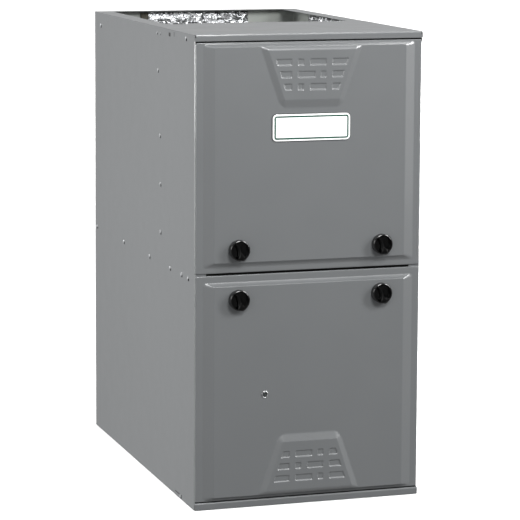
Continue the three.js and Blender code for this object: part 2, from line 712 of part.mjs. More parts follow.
// Serpentine tube: in at burner height, two return bends, out low at the rear.
function primaryCell(x) {
  const r = 19;
  const bend = 40;
  const near = CELL_Y + 64;
  const far = 268;
  const top = BURNER_Z;
  const path = new THREE.CurvePath();
  const line = (y0, y1, z) => path.add(new THREE.LineCurve3(v3(x, y0, z), v3(x, y1, z)));
  line(CELL_Y + SHEET + GAP, far, top);
  path.add(returnBend(x, far, top, bend, 1));
  line(far, near, top - 2 * bend);
  path.add(returnBend(x, near, top - 2 * bend, bend, -1));
  line(near, 309, top - 4 * bend);
  return sweptPath(path, r, 6, 9);
}

class ReturnBend extends THREE.Curve {
  constructor(x, y, z, radius, side) {
    super();
    Object.assign(this, { x, y, z, radius, side });
  }

  getPoint(t, target = v3()) {
    const angle = Math.PI * t;
    return target.set(
      this.x,
      this.y + this.side * this.radius * Math.sin(angle),
      this.z - this.radius * (1 - Math.cos(angle)),
    );
  }
}

const returnBend = (x, y, z, radius, side) => new ReturnBend(x, y, z, radius, side);

// A round bar in the Y-Z plane: rings square to the path at each curve's stations.
function sweptPath(path, radius, bendSteps, sides) {
  const rings = [];
  path.curves.forEach((curve, n) => {
    const steps = curve instanceof ReturnBend ? bendSteps : 1;
    for (let i = n === 0 ? 0 : 1; i <= steps; i += 1) {
      const at = curve.getPoint(i / steps);
      const along = curve.getTangent(i / steps);
      const across = v3(0, -along.z, along.y);
      const ring = [];
      for (let k = 0; k < sides; k += 1) {
        const angle = (2 * Math.PI * k) / sides;
        ring.push(at.clone().addScaledVector(across, radius * Math.sin(angle))
          .add(v3(radius * Math.cos(angle), 0, 0)));
      }
      rings.push(ring);
    }
  });
  return skinOf(rings);
}

// Rings joined into a closed skin with a fan on each end.
function skinOf(rings) {
  const sides = rings[0].length;
  const corners = rings.flat();
  const triangles = [];
  for (let s = 0; s < rings.length - 1; s += 1) {
    for (let i = 0; i < sides; i += 1) {
      const a = s * sides + i;
      const b = s * sides + ((i + 1) % sides);
      triangles.push(a, b, a + sides, b, b + sides, a + sides);
    }
  }
  const last = (rings.length - 1) * sides;
  for (let i = 1; i < sides - 1; i += 1) {
    triangles.push(0, i + 1, i, last, last + i, last + i + 1);
  }
  const geometry = new THREE.BufferGeometry();
  geometry.setAttribute('position', new THREE.BufferAttribute(
    new Float32Array(corners.flatMap((p) => [p.x, p.y, p.z])), 3,
  ));
  geometry.setIndex(triangles);
  return outward(geometry);
}

// Finned coil: a comb of plates round a core, run front to back.
function secondaryCoil() {
  const fins = 16;
  const half = 118;
  const pitch = (2 * half) / (fins - 1);
  const low = [];
  const high = [];
  for (let i = 0; i < fins; i += 1) {
    const x = -half + i * pitch;
    low.push(v2(x - 1, 484), v2(x + 1, 484));
    high.push(v2(x - 1, 566), v2(x + 1, 566));
    if (i < fins - 1) {
      low.push(v2(x + 1, 519), v2(x + pitch - 1, 519));
      high.push(v2(x + 1, 531), v2(x + pitch - 1, 531));
    }
  }
  return prismY([...low, ...high.reverse()], CELL_Y + SHEET + GAP, 309);
}

function couplingBox() {
  return join(
    prismX(
      rounded([v2(310, 476), v2(352, 490), v2(352, 622), v2(310, 640)], [1, 14, 14, 1], 2),
      -126, 126,
    ),
    block(-134, 134, 309.4, 311.4, 470, 646),
  );
}

const DRAIN_SPIGOT = { x: 66, y: -150, z: 466 };

function collectorBox() {
  const z0 = 484;
  const z1 = 660;
  const face = INDUCER.backY + GAP;
  const tray = loft([
    atY(rounded(rectangle(-132, 84, z0, z1), 12, 2), CELL_Y - GAP),
    atY(rounded(rectangle(-126, 78, z0 + 6, z1 - 6), 12, 2), face),
  ]);
  const rim = prismY(
    rounded(rectangle(-142, 94, z0 - 10, z1 + 10), 12, 2), CELL_Y - GAP - 4, CELL_Y - GAP,
  );
  const spouts = join(
    barZ(DRAIN_SPIGOT.x, DRAIN_SPIGOT.y, 7, DRAIN_SPIGOT.z, z0 + 8, 10),
    barY(INDUCER.x, INDUCER.z, 30, face - 0.01, face + 0.5, 20),
  );
  return join(tray, rim, spouts);
}

function heatExchanger() {
  [-1, 0, 1].forEach((i) => {
    add(`primary_exchanger_cell_${i + 2}`, primaryCell(i * BURNER_PITCH), ALUMINISED);
  });
  add('secondary_exchanger_coil', secondaryCoil(), GALVANISED);
  add('coupling_box', couplingBox(), ALUMINISED);
  add('collector_box', collectorBox(), BLACK_PLASTIC);
}

// ---------------------------------------------------------------- draft inducer

// The inducer's scroll, its radius growing round to the mouth that faces +X.
function inducerScroll(inset) {
  const steps = 15;
  const outline = [];
  for (let i = 0; i <= steps; i += 1) {
    const t = i / steps;
    const angle = THREE.MathUtils.degToRad(35 + 325 * t);
    const r = 62 + 20 * t - inset;
    outline.push(v2(r * Math.cos(angle), r * Math.sin(angle)));
  }
  return outline;
}

function inducerHousing() {
  const { x, z, backY, depth } = INDUCER;
  const frontY = backY - depth;
  const scroll = (inset) => inducerScroll(inset).map((p) => v2(x + p.x, z + p.y));
  const mouth = (inset) => block(
    x, x + 98, frontY + inset, backY - inset, z + 26 + inset, z + 78 - inset,
  );
  const outer = join(prismY(scroll(0), frontY, backY), mouth(0));
  const inner = join(
    prismY(scroll(2), frontY + 2, backY - 2),
    block(x + 6, x + 99, frontY + 2, backY - 2, z + 28, z + 76),
  );
  const inlet = barY(x, z, 28, backY - 4, backY + 4, 16);
  const shaft = barY(x, z, 8, frontY - 4, frontY + 4, 10);
  const lug = (a, b) => barY(x + a, z + b, 8, frontY, backY, 8);
  return cut(join(outer, lug(-50, 47), lug(-58, -50), lug(56, -57)), inner, inlet, shaft);
}

function inducerWheel() {
  const { x, z, backY, depth, wheelR } = INDUCER;
  const y0 = backY - depth + 7;
  const disc = barY(x, z, wheelR, y0, y0 + 1.6, 18);
  const vane = block(20, wheelR - 2, -0.8, 0.8, 0, 24);
  const vanes = [];
  const count = 9;
  for (let i = 0; i < count; i += 1) {
    vanes.push(vane.clone().rotateX(-Math.PI / 2).rotateY((2 * Math.PI * i) / count)
      .translate(x, y0 + 0.6, z));
  }
  const hub = barY(x, z, 9, y0 - 3, y0 + 16, 9);
  const shaft = barY(x, z, 4, backY - depth - 5, y0, 8);
  return join(disc, hub, shaft, ...vanes);
}

function inducerMotor() {
  const { x, z, backY, depth } = INDUCER;
  const face = backY - depth - GAP;
  return turnedY(x, z, [
    [8, face], [44, face], [44, face - 3], [40, face - 6], [40, face - 52], [34, face - 60],
    [12, face - 60], [10, face - 66], [0, face - 66], [0, face - 10], [8, face - 10], [8, face],
  ], 14);
}

function ventPipe() {
  const x0 = INDUCER.x + 98 + GAP;
  const y = VENT_Y;
  const z = VENT_Z;
  const pipe = join(
    barX(y, z, 29, x0 + 16, SIDE + 0.4, 16), barX(y, z, 33, x0 + 16, x0 + 46, 16),
  );
  const adapter = block(
    x0, x0 + 18, INDUCER.backY - INDUCER.depth + 1, INDUCER.backY - 1, z - 25, z + 25,
  );
  const bore = barX(y, z, 25.5, x0 + 60, SIDE + 2, 16);
  return cut(join(pipe, adapter), bore);
}

function pressureSwitch() {
  const x = -176;
  const z = 668;
  const back = CELL_Y - GAP;
  const bracket = block(x - 22, x + 22, back - SHEET * 2, back, z - 42, z + 42);
  const can = turnedY(x, z, [
    [0, back - 1], [30, back - 1], [34, back - 6], [34, back - 14], [38, back - 15],
    [38, back - 20], [34, back - 21], [30, back - 34], [12, back - 38], [0, back - 38],
  ], 13);
  const port = barY(x, z, 3.5, back - 52, back - 36, 8);
  return join(bracket, can, port);
}

function pressureTube() {
  const start = v3(-176, CELL_Y - GAP - 52 - GAP, 668);
  const end = v3(INDUCER.x - 40, INDUCER.backY - INDUCER.depth - GAP, INDUCER.z + 36);
  const path = new THREE.CatmullRomCurve3([
    start, v3(-176, start.y - 12, 668), v3(-172, -214, 675), v3(-150, -246, 684),
    v3(-112, -258, 676), v3(-78, -256, 646), v3(end.x, end.y - 22, end.z + 1),
    v3(end.x, end.y - 9, end.z), end,
  ], false, 'centripetal');
  return swept(path, 4, 17, 6);
}

function inducerGroup() {
  add('inducer_housing', inducerHousing(), GREY_PLASTIC);
  add('inducer_wheel', inducerWheel(), GREY_PLASTIC);
  add('inducer_motor', inducerMotor(), MOTOR_BLACK);
  add('vent_pipe', ventPipe(), WHITE);
  add('pressure_switch', pressureSwitch(), BLACK_PLASTIC);
  add('pressure_tube', pressureTube(), RUBBER);
}

function smallControls() {
  const face = CELL_Y - GAP;
  add('limit_switch', join(
    prismY(rounded(rectangle(150, 194, 556, 590), 4, 2), face - 2, face),
    barY(172, 573, 12, face - 12, face, 14),
    block(164, 167, face - 22, face - 11, 570, 576),
    block(177, 180, face - 22, face - 11, 570, 576),
  ), BLACK_PLASTIC);
  const top = BURNER_Z + 42 + GAP;
  const rollout = join(
    block(-30, 10, BURNER_FRONT + 14, BURNER_FRONT + 44, top, top + 2),
    block(-22, 2, BURNER_FRONT + 18, BURNER_FRONT + 40, top + 1, top + 14),
  );
  const bore = barY(-10, top + 8, 3.1, BURNER_FRONT + 10, BURNER_FRONT + 30, 12);
  add('rollout_switch', cut(rollout, bore), BLACK_PLASTIC);
  const button = barY(-10, top + 8, 2.6, BURNER_FRONT + 14, BURNER_FRONT + 26, 10);
  add('rollout_reset_button', button, RED);
  add('condensate_trap', condensateTrap(), GREY_PLASTIC);
  add('condensate_hose', condensateHose(), RUBBER);
}

function condensateTrap() {
  const body = prismY(rounded(rectangle(124, 176, 438, 520), 8, 2), -190, CELL_Y - GAP);
  const inlet = barY(138, 508, 7, -200, -188, 10);
  const outlet = barX(DRAIN.y, DRAIN.z, 8, 174, SIDE - 4, 10);
  return join(body, inlet, outlet);
}

function condensateHose() {
  const { x, y, z } = DRAIN_SPIGOT;
  const path = new THREE.CatmullRomCurve3([
    v3(x, y, z - GAP), v3(x, y, z - 8), v3(x + 2, y - 8, 448), v3(x + 12, y - 30, 443),
    v3(94, -208, 450), v3(116, -226, 474), v3(134, -231, 498), v3(138, -222, 507),
    v3(138, -212, 508), v3(138, -200 - GAP, 508),
  ], false, 'centripetal');
  return swept(path, 6, 17, 6);
}

// ---------------------------------------------------------------- blower

const FLANGE_Z = DECK_Z - 2 * SHEET - GAP;

// Scroll in the Y-Z plane about the wheel's axis; the mouth faces up through the deck.
function blowerScroll(inset) {
  const steps = 18;
  const outline = [];
  for (let i = 0; i <= steps; i += 1) {
    const t = i / steps;
    const angle = THREE.MathUtils.degToRad(62 - 242 * t);
    const r = 140 + 32 * t - inset;
    outline.push(v2(BLOWER.y + r * Math.cos(angle), BLOWER.z + r * Math.sin(angle)));
  }
  const top = FLANGE_Z + SHEET + (inset ? 5 : 0);
  const left = outline[outline.length - 1];
  outline.push(
    v2(left.x, top), v2(BLOWER.y + 18 - inset, top), v2(BLOWER.y + 18 - inset, BLOWER.z + 138),
  );
  return outline;
}

function blowerHousing() {
  const half = BLOWER.caseHalf;
  const outer = prismX(blowerScroll(0), -half, half);
  const inner = prismX(blowerScroll(SHEET), -half + SHEET, half - SHEET);
  const inlets = [-1, 1].map((side) => (
    barX(BLOWER.y, BLOWER.z, 112, side * half - 5, side * half + 5, 20)
  ));
  const collar = (side) => {
    const [x0, x1] = side < 0 ? [-half, -half + 14] : [half - 14, half];
    return cut(
      barX(BLOWER.y, BLOWER.z, 113.5, x0, x1, 20),
      barX(BLOWER.y, BLOWER.z, 112, x0 - 2, x1 + 2, 20),
    );
  };
  const [near, far] = BLOWER.mouth;
  const flange = cut(
    block(
      -half - 10, half + 10, BLOWER.y + near - 12, BLOWER.y + far + 14, FLANGE_Z, FLANGE_Z + SHEET,
    ),
    block(
      -half + SHEET, half - SHEET, BLOWER.y + near, BLOWER.y + far, FLANGE_Z - 8, FLANGE_Z + 8,
    ),
  );
  return join(cut(outer, inner, ...inlets), collar(-1), collar(1), flange);
}

// Forward curved squirrel cage between two end rings and a centre plate.
function blowerWheel() {
  const { y, z, wheelR, wheelHalf } = BLOWER;
  const count = 21;
  const inner = wheelR - 17;
  const blades = [];
  for (let i = 0; i < count; i += 1) {
    const start = (2 * Math.PI * i) / count;
    const at = (r, lead) => v2(
      y + r * Math.cos(start + lead), z + r * Math.sin(start + lead),
    );
    blades.push(prismX([
      at(inner, 0), at(wheelR - 1.4, 0.1), at(wheelR - 1.4, 0.115), at(inner, 0.018),
    ], -wheelHalf + 1, wheelHalf - 1));
  }
  const ring = (x0, x1) => cut(
    barX(y, z, wheelR, x0, x1, count), barX(y, z, inner - 1, x0 - 1, x1 + 1, count),
  );
  const plate = cut(barX(y, z, wheelR - 3, -1, 1, count), barX(y, z, 30, -2, 2, 16));
  const hub = cut(
    barX(y, z, 34, -14, 14, 16), barX(y, z, 30, 2, 20, 16), barX(y, z, 30, -20, -2, 16),
  );
  const core = barX(y, z, 12, -14, 10, 10);
  const web = barX(y, z, 33, -1, 1, 16);
  const shaft = barX(y, z, 6.35, -24, 20.5, 10);
  return join(
    ring(-wheelHalf, -wheelHalf + 5), ring(wheelHalf - 5, wheelHalf), plate, hub, web, core,
    shaft, ...blades,
  );
}

const MOTOR = { x0: 18, x1: 128, r: 69 };

function blowerMotor() {
  const { y, z } = BLOWER;
  const shell = new THREE.LatheGeometry([
    v2(7.5, MOTOR.x0), v2(62, MOTOR.x0), v2(MOTOR.r, MOTOR.x0 + 7), v2(MOTOR.r, MOTOR.x1 - 7),
    v2(62, MOTOR.x1), v2(0, MOTOR.x1), v2(0, MOTOR.x0 + 4), v2(7.5, MOTOR.x0 + 4),
    v2(7.5, MOTOR.x0),
  ], 18);
  return shell.rotateZ(-Math.PI / 2).translate(0, y, z);
}

// Belly band round the motor with three arms out to the inlet's edge.
function motorMount() {
  const { y, z, caseHalf } = BLOWER;
  const band = cut(
    barX(y, z, MOTOR.r + 2.3, 92, 110, 18), barX(y, z, MOTOR.r + GAP, 80, 120, 18),
  );
  const arms = [90, 210, 330].map((degrees) => {
    const arm = join(
      block(106, caseHalf + 3, MOTOR.r + 1, MOTOR.r + 4, -6, 6),
      block(caseHalf + 0.5, caseHalf + 3, MOTOR.r + 1, 130, -6, 6),
    );
    return toGeometry(arm).rotateX(THREE.MathUtils.degToRad(degrees)).translate(0, y, z);
  });
  return join(band, ...arms);
}

function blowerGroup() {
  add('blower_housing', blowerHousing(), GALVANISED);
  add('blower_wheel', blowerWheel(), GALVANISED);
  add('blower_motor', blowerMotor(), MOTOR_BLACK);
  add('motor_mount', motorMount(), BLACK_IRON);
}

// ---------------------------------------------------------------- control tray

const TRAY = { x0: -190, x1: 60, y: -286, z0: 118 };
const BOARD = { x0: -176, x1: -40, z0: 150, z1: 300 };

function controlTray() {
  const section = bentSheet([
    v2(TRAY.y + 40, DECK_Z - SHEET - GAP), v2(TRAY.y, DECK_Z - SHEET - GAP),
    v2(TRAY.y, TRAY.z0), v2(TRAY.y + 14, TRAY.z0),
  ]);
  return prismX(section, TRAY.x0, TRAY.x1);
}

function controlBoard() {
  const face = TRAY.y - GAP;
  const board = block(BOARD.x0, BOARD.x1, face - 9, face - 7.4, BOARD.z0, BOARD.z1);
  const posts = [[BOARD.x0 + 8, BOARD.z0 + 8], [BOARD.x1 - 8, BOARD.z0 + 8],
    [BOARD.x0 + 8, BOARD.z1 - 8], [BOARD.x1 - 8, BOARD.z1 - 8]]
    .map(([x, z]) => barY(x, z, 3, face - 8, face, 6));
  const relays = [0, 1, 2].map((i) => (
    block(-168 + i * 30, -146 + i * 30, face - 25, face - 8, 268, 290)
  ));
  const terminals = block(-160, -100, face - 20, face - 8, 158, 170);
  const lamp = barY(SIGHT.x, SIGHT.z, 2.5, face - 14, face - 8, 8);
  const chip = block(-150, -120, face - 12, face - 8, 205, 235);
  const plug = block(-66, -50, face - 20, face - 8, 190, 240);
  return join(board, ...posts, ...relays, terminals, lamp, chip, plug);
}

function transformer() {
  const face = TRAY.y - GAP;
  const foot = block(-22, 50, face - 2, face, 190, 246);
  const core = block(-14, 42, face - 40, face, 194, 242);
  const coil = prismX(rounded(rectangle(face - 48, face - 2, 200, 236), 7, 2), -24, 52);
  return join(foot, core, coil);
}

const DOOR_SWITCH = { x: 20, z: 300 };

function doorSwitch() {
  const face = TRAY.y - GAP;
  const { x, z } = DOOR_SWITCH;
  const stalk = block(x - 12, x + 12, face - 50, face, z - 14, z - 12);
  const body = block(x - 10, x + 10, face - 50, face - 16, z - 13, z + 13);
  const foot = block(x - 12, x + 12, face - 2, face, z - 14, z + 20);
  return cut(join(stalk, body, foot), barY(x, z, 5.4, face - 60, face - 30, 12));
}

function doorSwitchPlunger() {
  const face = TRAY.y - GAP;
  const { x, z } = DOOR_SWITCH;
  return turnedY(x, z, [
    [0, face - 36], [5, face - 36], [5, FRONT + 3], [3, FRONT + 0.6], [0, FRONT + 0.6],
  ], 12);
}

function controlGroup() {
  add('control_tray', controlTray(), GALVANISED);
  add('control_board', controlBoard(), BOARD_GREEN);
  add('transformer', transformer(), BLACK_IRON);
  add('door_switch', doorSwitch(), BLACK_PLASTIC);
  add('door_switch_plunger', doorSwitchPlunger(), WHITE);
}

// ---------------------------------------------------------------- the furnace

add('casing_wrapper', casingWrapper(), PAINT);
add('top_cover', topCover(), PAINT);
add('base_rail', baseRail(), PAINT);
add('centre_rail', centreRail(), PAINT);
add('blower_deck', blowerDeck(), GALVANISED);
add('cell_panel', cellPanel(), GALVANISED);
wallBlankets();
upperDoor();
lowerDoor();
doorFittings();
burners();
heatExchanger();
inducerGroup();
smallControls();
blowerGroup();
controlGroup();

export default furnace;
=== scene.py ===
import math

import bmesh
import bpy
import numpy as np
from mathutils import Matrix, Vector


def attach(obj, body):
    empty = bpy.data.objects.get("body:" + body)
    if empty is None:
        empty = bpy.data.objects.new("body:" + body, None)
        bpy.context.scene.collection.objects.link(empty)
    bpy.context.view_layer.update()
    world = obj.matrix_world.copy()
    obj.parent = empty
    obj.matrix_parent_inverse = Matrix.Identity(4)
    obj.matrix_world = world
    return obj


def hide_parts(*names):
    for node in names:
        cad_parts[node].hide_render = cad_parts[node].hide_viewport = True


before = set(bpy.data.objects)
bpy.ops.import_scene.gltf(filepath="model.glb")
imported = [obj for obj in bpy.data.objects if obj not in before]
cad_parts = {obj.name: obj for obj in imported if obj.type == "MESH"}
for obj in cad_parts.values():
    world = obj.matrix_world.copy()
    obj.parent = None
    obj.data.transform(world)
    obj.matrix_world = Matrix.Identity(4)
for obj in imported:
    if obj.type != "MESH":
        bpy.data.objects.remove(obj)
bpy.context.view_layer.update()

# ---- sizes in millimetres: x to the right, y to the back, z up

MM = 0.001  # the scene is in metres
SIDE = 222.5
FRONT = -362.75
BACK = 386.25
CASE_H = 889.0
SHEET = 1.0
GAP = 0.3

DOOR_HALF = 221.0
MARGIN_Y = FRONT - 2.5
FIELD_RISE = 7.0
FIELD_Y = MARGIN_Y - FIELD_RISE
BOSS_RISE = 4.9
MARGIN_SIDE = 13.0
SLOPE_SIDE = 21.0
LIP_Y = FRONT - SHEET - GAP
DECK_Z = 434.0
CELL_Y = -128.0

DOOR_CORNER = 2.2
UPPER_DOOR = dict(
    bottom=446.4, top=874.2, margin_bottom=8.5, margin_top=1.9, slope_bottom=11.5, slope_top=6.6,
)
LOWER_DOOR = dict(
    bottom=15.6, top=442.3, margin_bottom=1.2, margin_top=11.9, slope_bottom=6.5, slope_top=8.5,
)
BOSS = dict(wide=86.0, wide_at=4.0, narrow=53.5, flank_side=15.5, height=98.5, flank_end=17.0)
DASH = dict(height=13.5, pitch=23.0, depth=1.9, wall=2.0, first=29.0, edge_gap=7.5, corner=2.6)
OUTER_DASHES_FROM = (-39.0, 38.5)
INNER_DASHES_LONG_LEFT = ((-29.0, 6.5), (15.5, 28.0))
INNER_DASHES_LONG_RIGHT = ((-29.0, -16.0), (-5.5, 28.0))
KNOB_X = 140.8
KNOB_R = 19.2
KNOB_FLOOR = 3.2
GRIP = dict(
    ledge=9.6, ledge_half=5.2, top=13.3, top_half=2.6, waist_curve=18.6, flank=2.0, reach=17.4,
)
KNOB_RIM = dict(inner=15.9, wall=0.9, top=12.9, crest=16.0, fall=0.13)
GRIP_TILT = 13  # degrees
POINTER = dict(tilt=21, width=0.2, reach=2.0)
UPPER_KNOB_Z = 490.3
LOWER_KNOB_Z = 396.9
SIGHT_X, SIGHT_Z, SIGHT_R = -88.0, 215.0, 6.0

# ---- camera

IMAGE = 520
FOCAL_PX = 2451.7
AXIS_PX = (260.0, 160.0)
CAMERA_AT = (-1486.6, -4646.7, 1196.2)
CAMERA_TURN = (17.975, 6.848, 0.298)  # yaw, pitch and roll, degrees
SENSOR = 36.0


def set_camera():
    yaw, pitch, roll = (math.radians(a) for a in CAMERA_TURN)
    level_reach = math.cos(pitch)
    ahead = Vector((math.sin(yaw) * level_reach, math.cos(yaw) * level_reach, -math.sin(pitch)))
    level = Vector((math.cos(yaw), -math.sin(yaw), 0.0))
    upright = level.cross(ahead)
    right = level * math.cos(roll) + upright * math.sin(roll)
    up = upright * math.cos(roll) - level * math.sin(roll)
    data = bpy.data.cameras.new("camera")
    data.sensor_width = SENSOR
    data.sensor_fit = "HORIZONTAL"
    data.lens = FOCAL_PX / IMAGE * SENSOR
    data.shift_x = (IMAGE / 2 - AXIS_PX[0]) / IMAGE
    data.shift_y = (AXIS_PX[1] - IMAGE / 2) / IMAGE
    data.clip_end = 50.0
    camera = bpy.data.objects.new("camera", data)
    bpy.context.collection.objects.link(camera)
    turn = Matrix((right, up, -ahead)).transposed().to_4x4()
    camera.matrix_world = Matrix.Translation(Vector(CAMERA_AT) * MM) @ turn
    bpy.context.scene.camera = camera


set_camera()

# ---- lamps


def soft_box(name, at, towards, width, height, watts, spread=180.0):
    """An area lamp at one place aimed at another, in metres; its beam spreads in degrees."""
    data = bpy.data.lights.new(name, "AREA")
    data.shape = "RECTANGLE"
    data.size = width
    data.size_y = height
    data.energy = watts
    data.spread = math.radians(spread)
    lamp = bpy.data.objects.new(name, data)
    bpy.context.collection.objects.link(lamp)
    lamp.location = at
    lamp.rotation_euler = (Vector(towards) - Vector(at)).to_track_quat("-Z", "Y").to_euler()


# ---- shader sums


class Value:
    """A number or a colour that varies over a surface, with the sums done on it."""

    def __init__(self, shading, socket):
        self.shading = shading
        self.socket = socket

    def sum(self, operation, other):
        return self.shading.node("ShaderNodeMath", {"operation": operation}, {0: self, 1: other})

    def __add__(self, other):
        return self.sum("ADD", other)

    def __sub__(self, other):
        return self.sum("SUBTRACT", other)

    def __mul__(self, other):
        return self.sum("MULTIPLY", other)


class Shading:
    """A node tree, its shader and its coordinates, with the methods that add nodes."""

    def __init__(self, owner, shader, coordinates):
        owner.use_nodes = True
        self.tree = owner.node_tree
        self.shader = self.tree.nodes[shader]
        self.coordinates = self.node("ShaderNodeTexCoord", {}, {}, coordinates)

    def constant(self, socket, value):
        self.shader.inputs[socket].default_value = value

    def node(self, kind, settings, inputs, output=0):
        made = self.tree.nodes.new(kind)
        for key, value in settings.items():
            if key == "stops":
                self.set_stops(made.color_ramp, value)
            else:
                setattr(made, key, value)
        for key, value in inputs.items():
            if isinstance(value, Value):
                self.tree.links.new(value.socket, made.inputs[key])
            else:
                made.inputs[key].default_value = value
        return Value(self, made.outputs[output])

    @staticmethod
    def set_stops(ramp, stops):
        while len(ramp.elements) < len(stops):
            ramp.elements.new(0.5)
        for element, (position, colour) in zip(ramp.elements, stops):
            element.position = position
            element.color = (*colour, 1.0)

    def noise(self, size, detail=2.0, rough=0.5, stretch=None):
        """Cloudy noise, 0 to 1, with patches of a size in millimetres."""
        where = self.coordinates
        if stretch is not None:
            where = self.node("ShaderNodeMapping", {}, {"Vector": where, "Scale": stretch})
        return self.node("ShaderNodeTexNoise", {}, {
            "Vector": where, "Scale": 1.0 / (size * MM), "Detail": detail, "Roughness": rough,
        })

    def cells(self, size, output="Distance", feature="F1"):
        return self.node(
            "ShaderNodeTexVoronoi", {"feature": feature},
            {"Vector": self.coordinates, "Scale": 1.0 / (size * MM)}, output,
        )

    def ramp(self, value, stops):
        return self.node("ShaderNodeValToRGB", {"stops": stops}, {"Fac": value})

    def range(self, value, low, high, to_low=0.0, to_high=1.0):
        return self.node("ShaderNodeMapRange", {"clamp": True}, {
            "Value": value, "From Min": low, "From Max": high, "To Min": to_low, "To Max": to_high,
        })

    def mix(self, amount, first, second):
        """Two colours mixed; the Mix node keeps its colour sockets at 6, 7 and output 2."""
        first, second = (c if isinstance(c, Value) else (*c, 1.0) for c in (first, second))
        inputs = {0: amount, 6: first, 7: second}
        return self.node("ShaderNodeMix", {"data_type": "RGBA"}, inputs, 2)

    def axes(self):
        return [self.node("ShaderNodeSeparateXYZ", {}, {0: self.coordinates}, i) for i in range(3)]

    def feed(self, socket, value):
        self.tree.links.new(value.socket, self.shader.inputs[socket])


class Finish(Shading):
    """A procedural material: one Principled shader and the nodes that vary it."""

    def __init__(self, name, roughness=0.5, metallic=0.0, **constants):
        self.material = bpy.data.materials.new(name)
        super().__init__(self.material, "Principled BSDF", "Object")
        self.constant("Roughness", roughness)
        self.constant("Metallic", metallic)
        for socket, value in constants.items():
            self.constant(socket.replace("_", " ").title().replace("Ior", "IOR"), value)

    def patched(self, size, detail, dark, light, rough=0.5):
        """Base colour that wanders between two tones in patches of a size."""
        self.feed("Base Color", self.mix(self.noise(size, detail, rough), dark, light))

    def uneven(self, size, detail, low, high):
        """Roughness that wanders between two values in patches of a size."""
        self.feed("Roughness", self.range(self.noise(size, detail), 0.3, 0.7, low, high))

    def bump(self, height, depth, strength=1.0):
        """Raises the surface by height, 0 to 1, times depth in millimetres."""
        inputs = {"Height": height, "Distance": depth * MM, "Strength": strength}
        self.feed("Normal", self.node("ShaderNodeBump", {}, inputs, "Normal"))


# ---- studio


def set_studio():
    """A soft room, brighter above and on the left, dim in front, with lamps round the cabinet."""
    world = bpy.data.worlds.new("studio")
    bpy.context.scene.world = world
    room = Shading(world, "Background", "Generated")
    across, along, up = room.axes()
    glow = room.range(up * 0.86 - across * 0.30, -0.75, 1.0)
    lit = room.ramp(glow, [
        (0.0, (0.62, 0.622, 0.624)), (0.36, (0.50, 0.504, 0.506)), (0.50, (0.58, 0.586, 0.59)),
        (1.0, (0.62, 0.63, 0.64)),
    ])
    in_front = across * 0.37 - along * 0.93 - up * 0.05
    dim = room.range(in_front, 0.72, 0.95, 0.0, 0.75)
    room.feed("Color", room.mix(dim, lit, (0.05, 0.05, 0.05)))
    room.constant("Strength", 0.80)
    bpy.context.scene.view_settings.view_transform = "Standard"
    soft_box("key", (0.12, -2.4, 2.2), (-0.05, -0.35, 0.8), 0.9, 0.8, 65.0)
    soft_box("left_front", (-2.6, -3.0, 1.25), (-0.2, -0.36, 0.6), 1.2, 1.2, 22.0)
    soft_box("high_right", (3.58, -3.22, 3.72), (0.2, -0.37, 0.87), 0.9, 1.6, 150.0)
    soft_box("right_low", (3.14, -2.18, 2.0), (0.1, -0.37, 0.55), 0.3, 2.0, 60.0)
    soft_box("high_back", (0.96, 0.49, 3.06), (0.0, -0.37, 0.8), 1.4, 0.5, 39.0)
    soft_box("right_tall", (2.7, -1.8, 0.9), (0.1, -0.37, 0.7), 0.7, 1.5, 3.0)
    soft_box("right_back", (2.3, 1.19, 0.45), (0.2, -0.37, 0.7), 0.3, 0.85, 85.0)
    soft_box("left", (-3.1, 0.8, 1.3), (-0.22, -0.5, 0.6), 1.4, 1.9, 36.0, 90.0)
    soft_box("corner_strip", (-3.0, -1.55, 0.9), (-0.2, -0.36, 0.5), 0.5, 1.8, 6.0)
    soft_box("backdrop", (1.5, 11.0, 5.0), (1.5, 11.1, 0.0), 14.0, 15.0, 920.0, 92.0)
    soft_box("floor_left", (-0.85, 0.0, 1.8), (-0.85, 0.01, 0.0), 0.5, 1.8, 5.0, 60.0)


set_studio()

# ---- finishes


def powder_coat(inner_faces=False):
    """Grey satin powder coat with fine orange peel; the casing's inner faces keep a pale backing
    coat, partly painted light: it is made pale to stand in for the light that falls into the
    cabinet from above.
    """
    name = "casing_paint" if inner_faces else "grey_powder_coat"
    paint = Finish(name, specular_ior_level=0.5, coat_weight=0.6, coat_roughness=0.12)
    cloud = paint.noise(260.0, 3.0)
    speck = paint.noise(0.9, 2.0, 0.7)
    tone = paint.mix(cloud, (0.112, 0.117, 0.120), (0.118, 0.123, 0.126))
    tone = paint.mix(paint.range(speck, 0.35, 0.75, 0.0, 0.22), tone, (0.135, 0.141, 0.145))
    scuff = paint.range(paint.noise(46.0, 6.0, 0.72), 0.62, 0.8, 0.0, 0.10)
    colour = paint.mix(scuff, tone, (0.08, 0.085, 0.088))
    if inner_faces:
        x, y, z = paint.axes()
        # both sides at once: x squared falls by this much in about 0.45 mm of sheet
        side, step = (SIDE * MM) ** 2, 0.0002
        within = paint.range(x * x, side - step, side - 2 * step)
        for axis, begins, full in (
            (y, BACK - 0.4, BACK - 0.8), (y, FRONT + 0.4, FRONT + 0.8),
            (z, CASE_H - 1.5, CASE_H - 2.5),
        ):
            within = within * paint.range(axis, begins * MM, full * MM)
        # the pale backing coat, partly painted light standing in for light falling in from above
        pale_backer_and_light = paint.mix(paint.noise(35.0, 5.0), (0.25, 0.265, 0.25), (0.31, 0.325, 0.305))
        colour = paint.mix(within, colour, pale_backer_and_light)
    paint.feed("Base Color", colour)
    paint.uneven(70.0, 4.0, 0.35, 0.41)
    paint.bump(paint.noise(1.3, 2.0) * 0.05 + paint.noise(190.0, 1.0) * 0.12, 0.9, 0.3)
    return paint.material


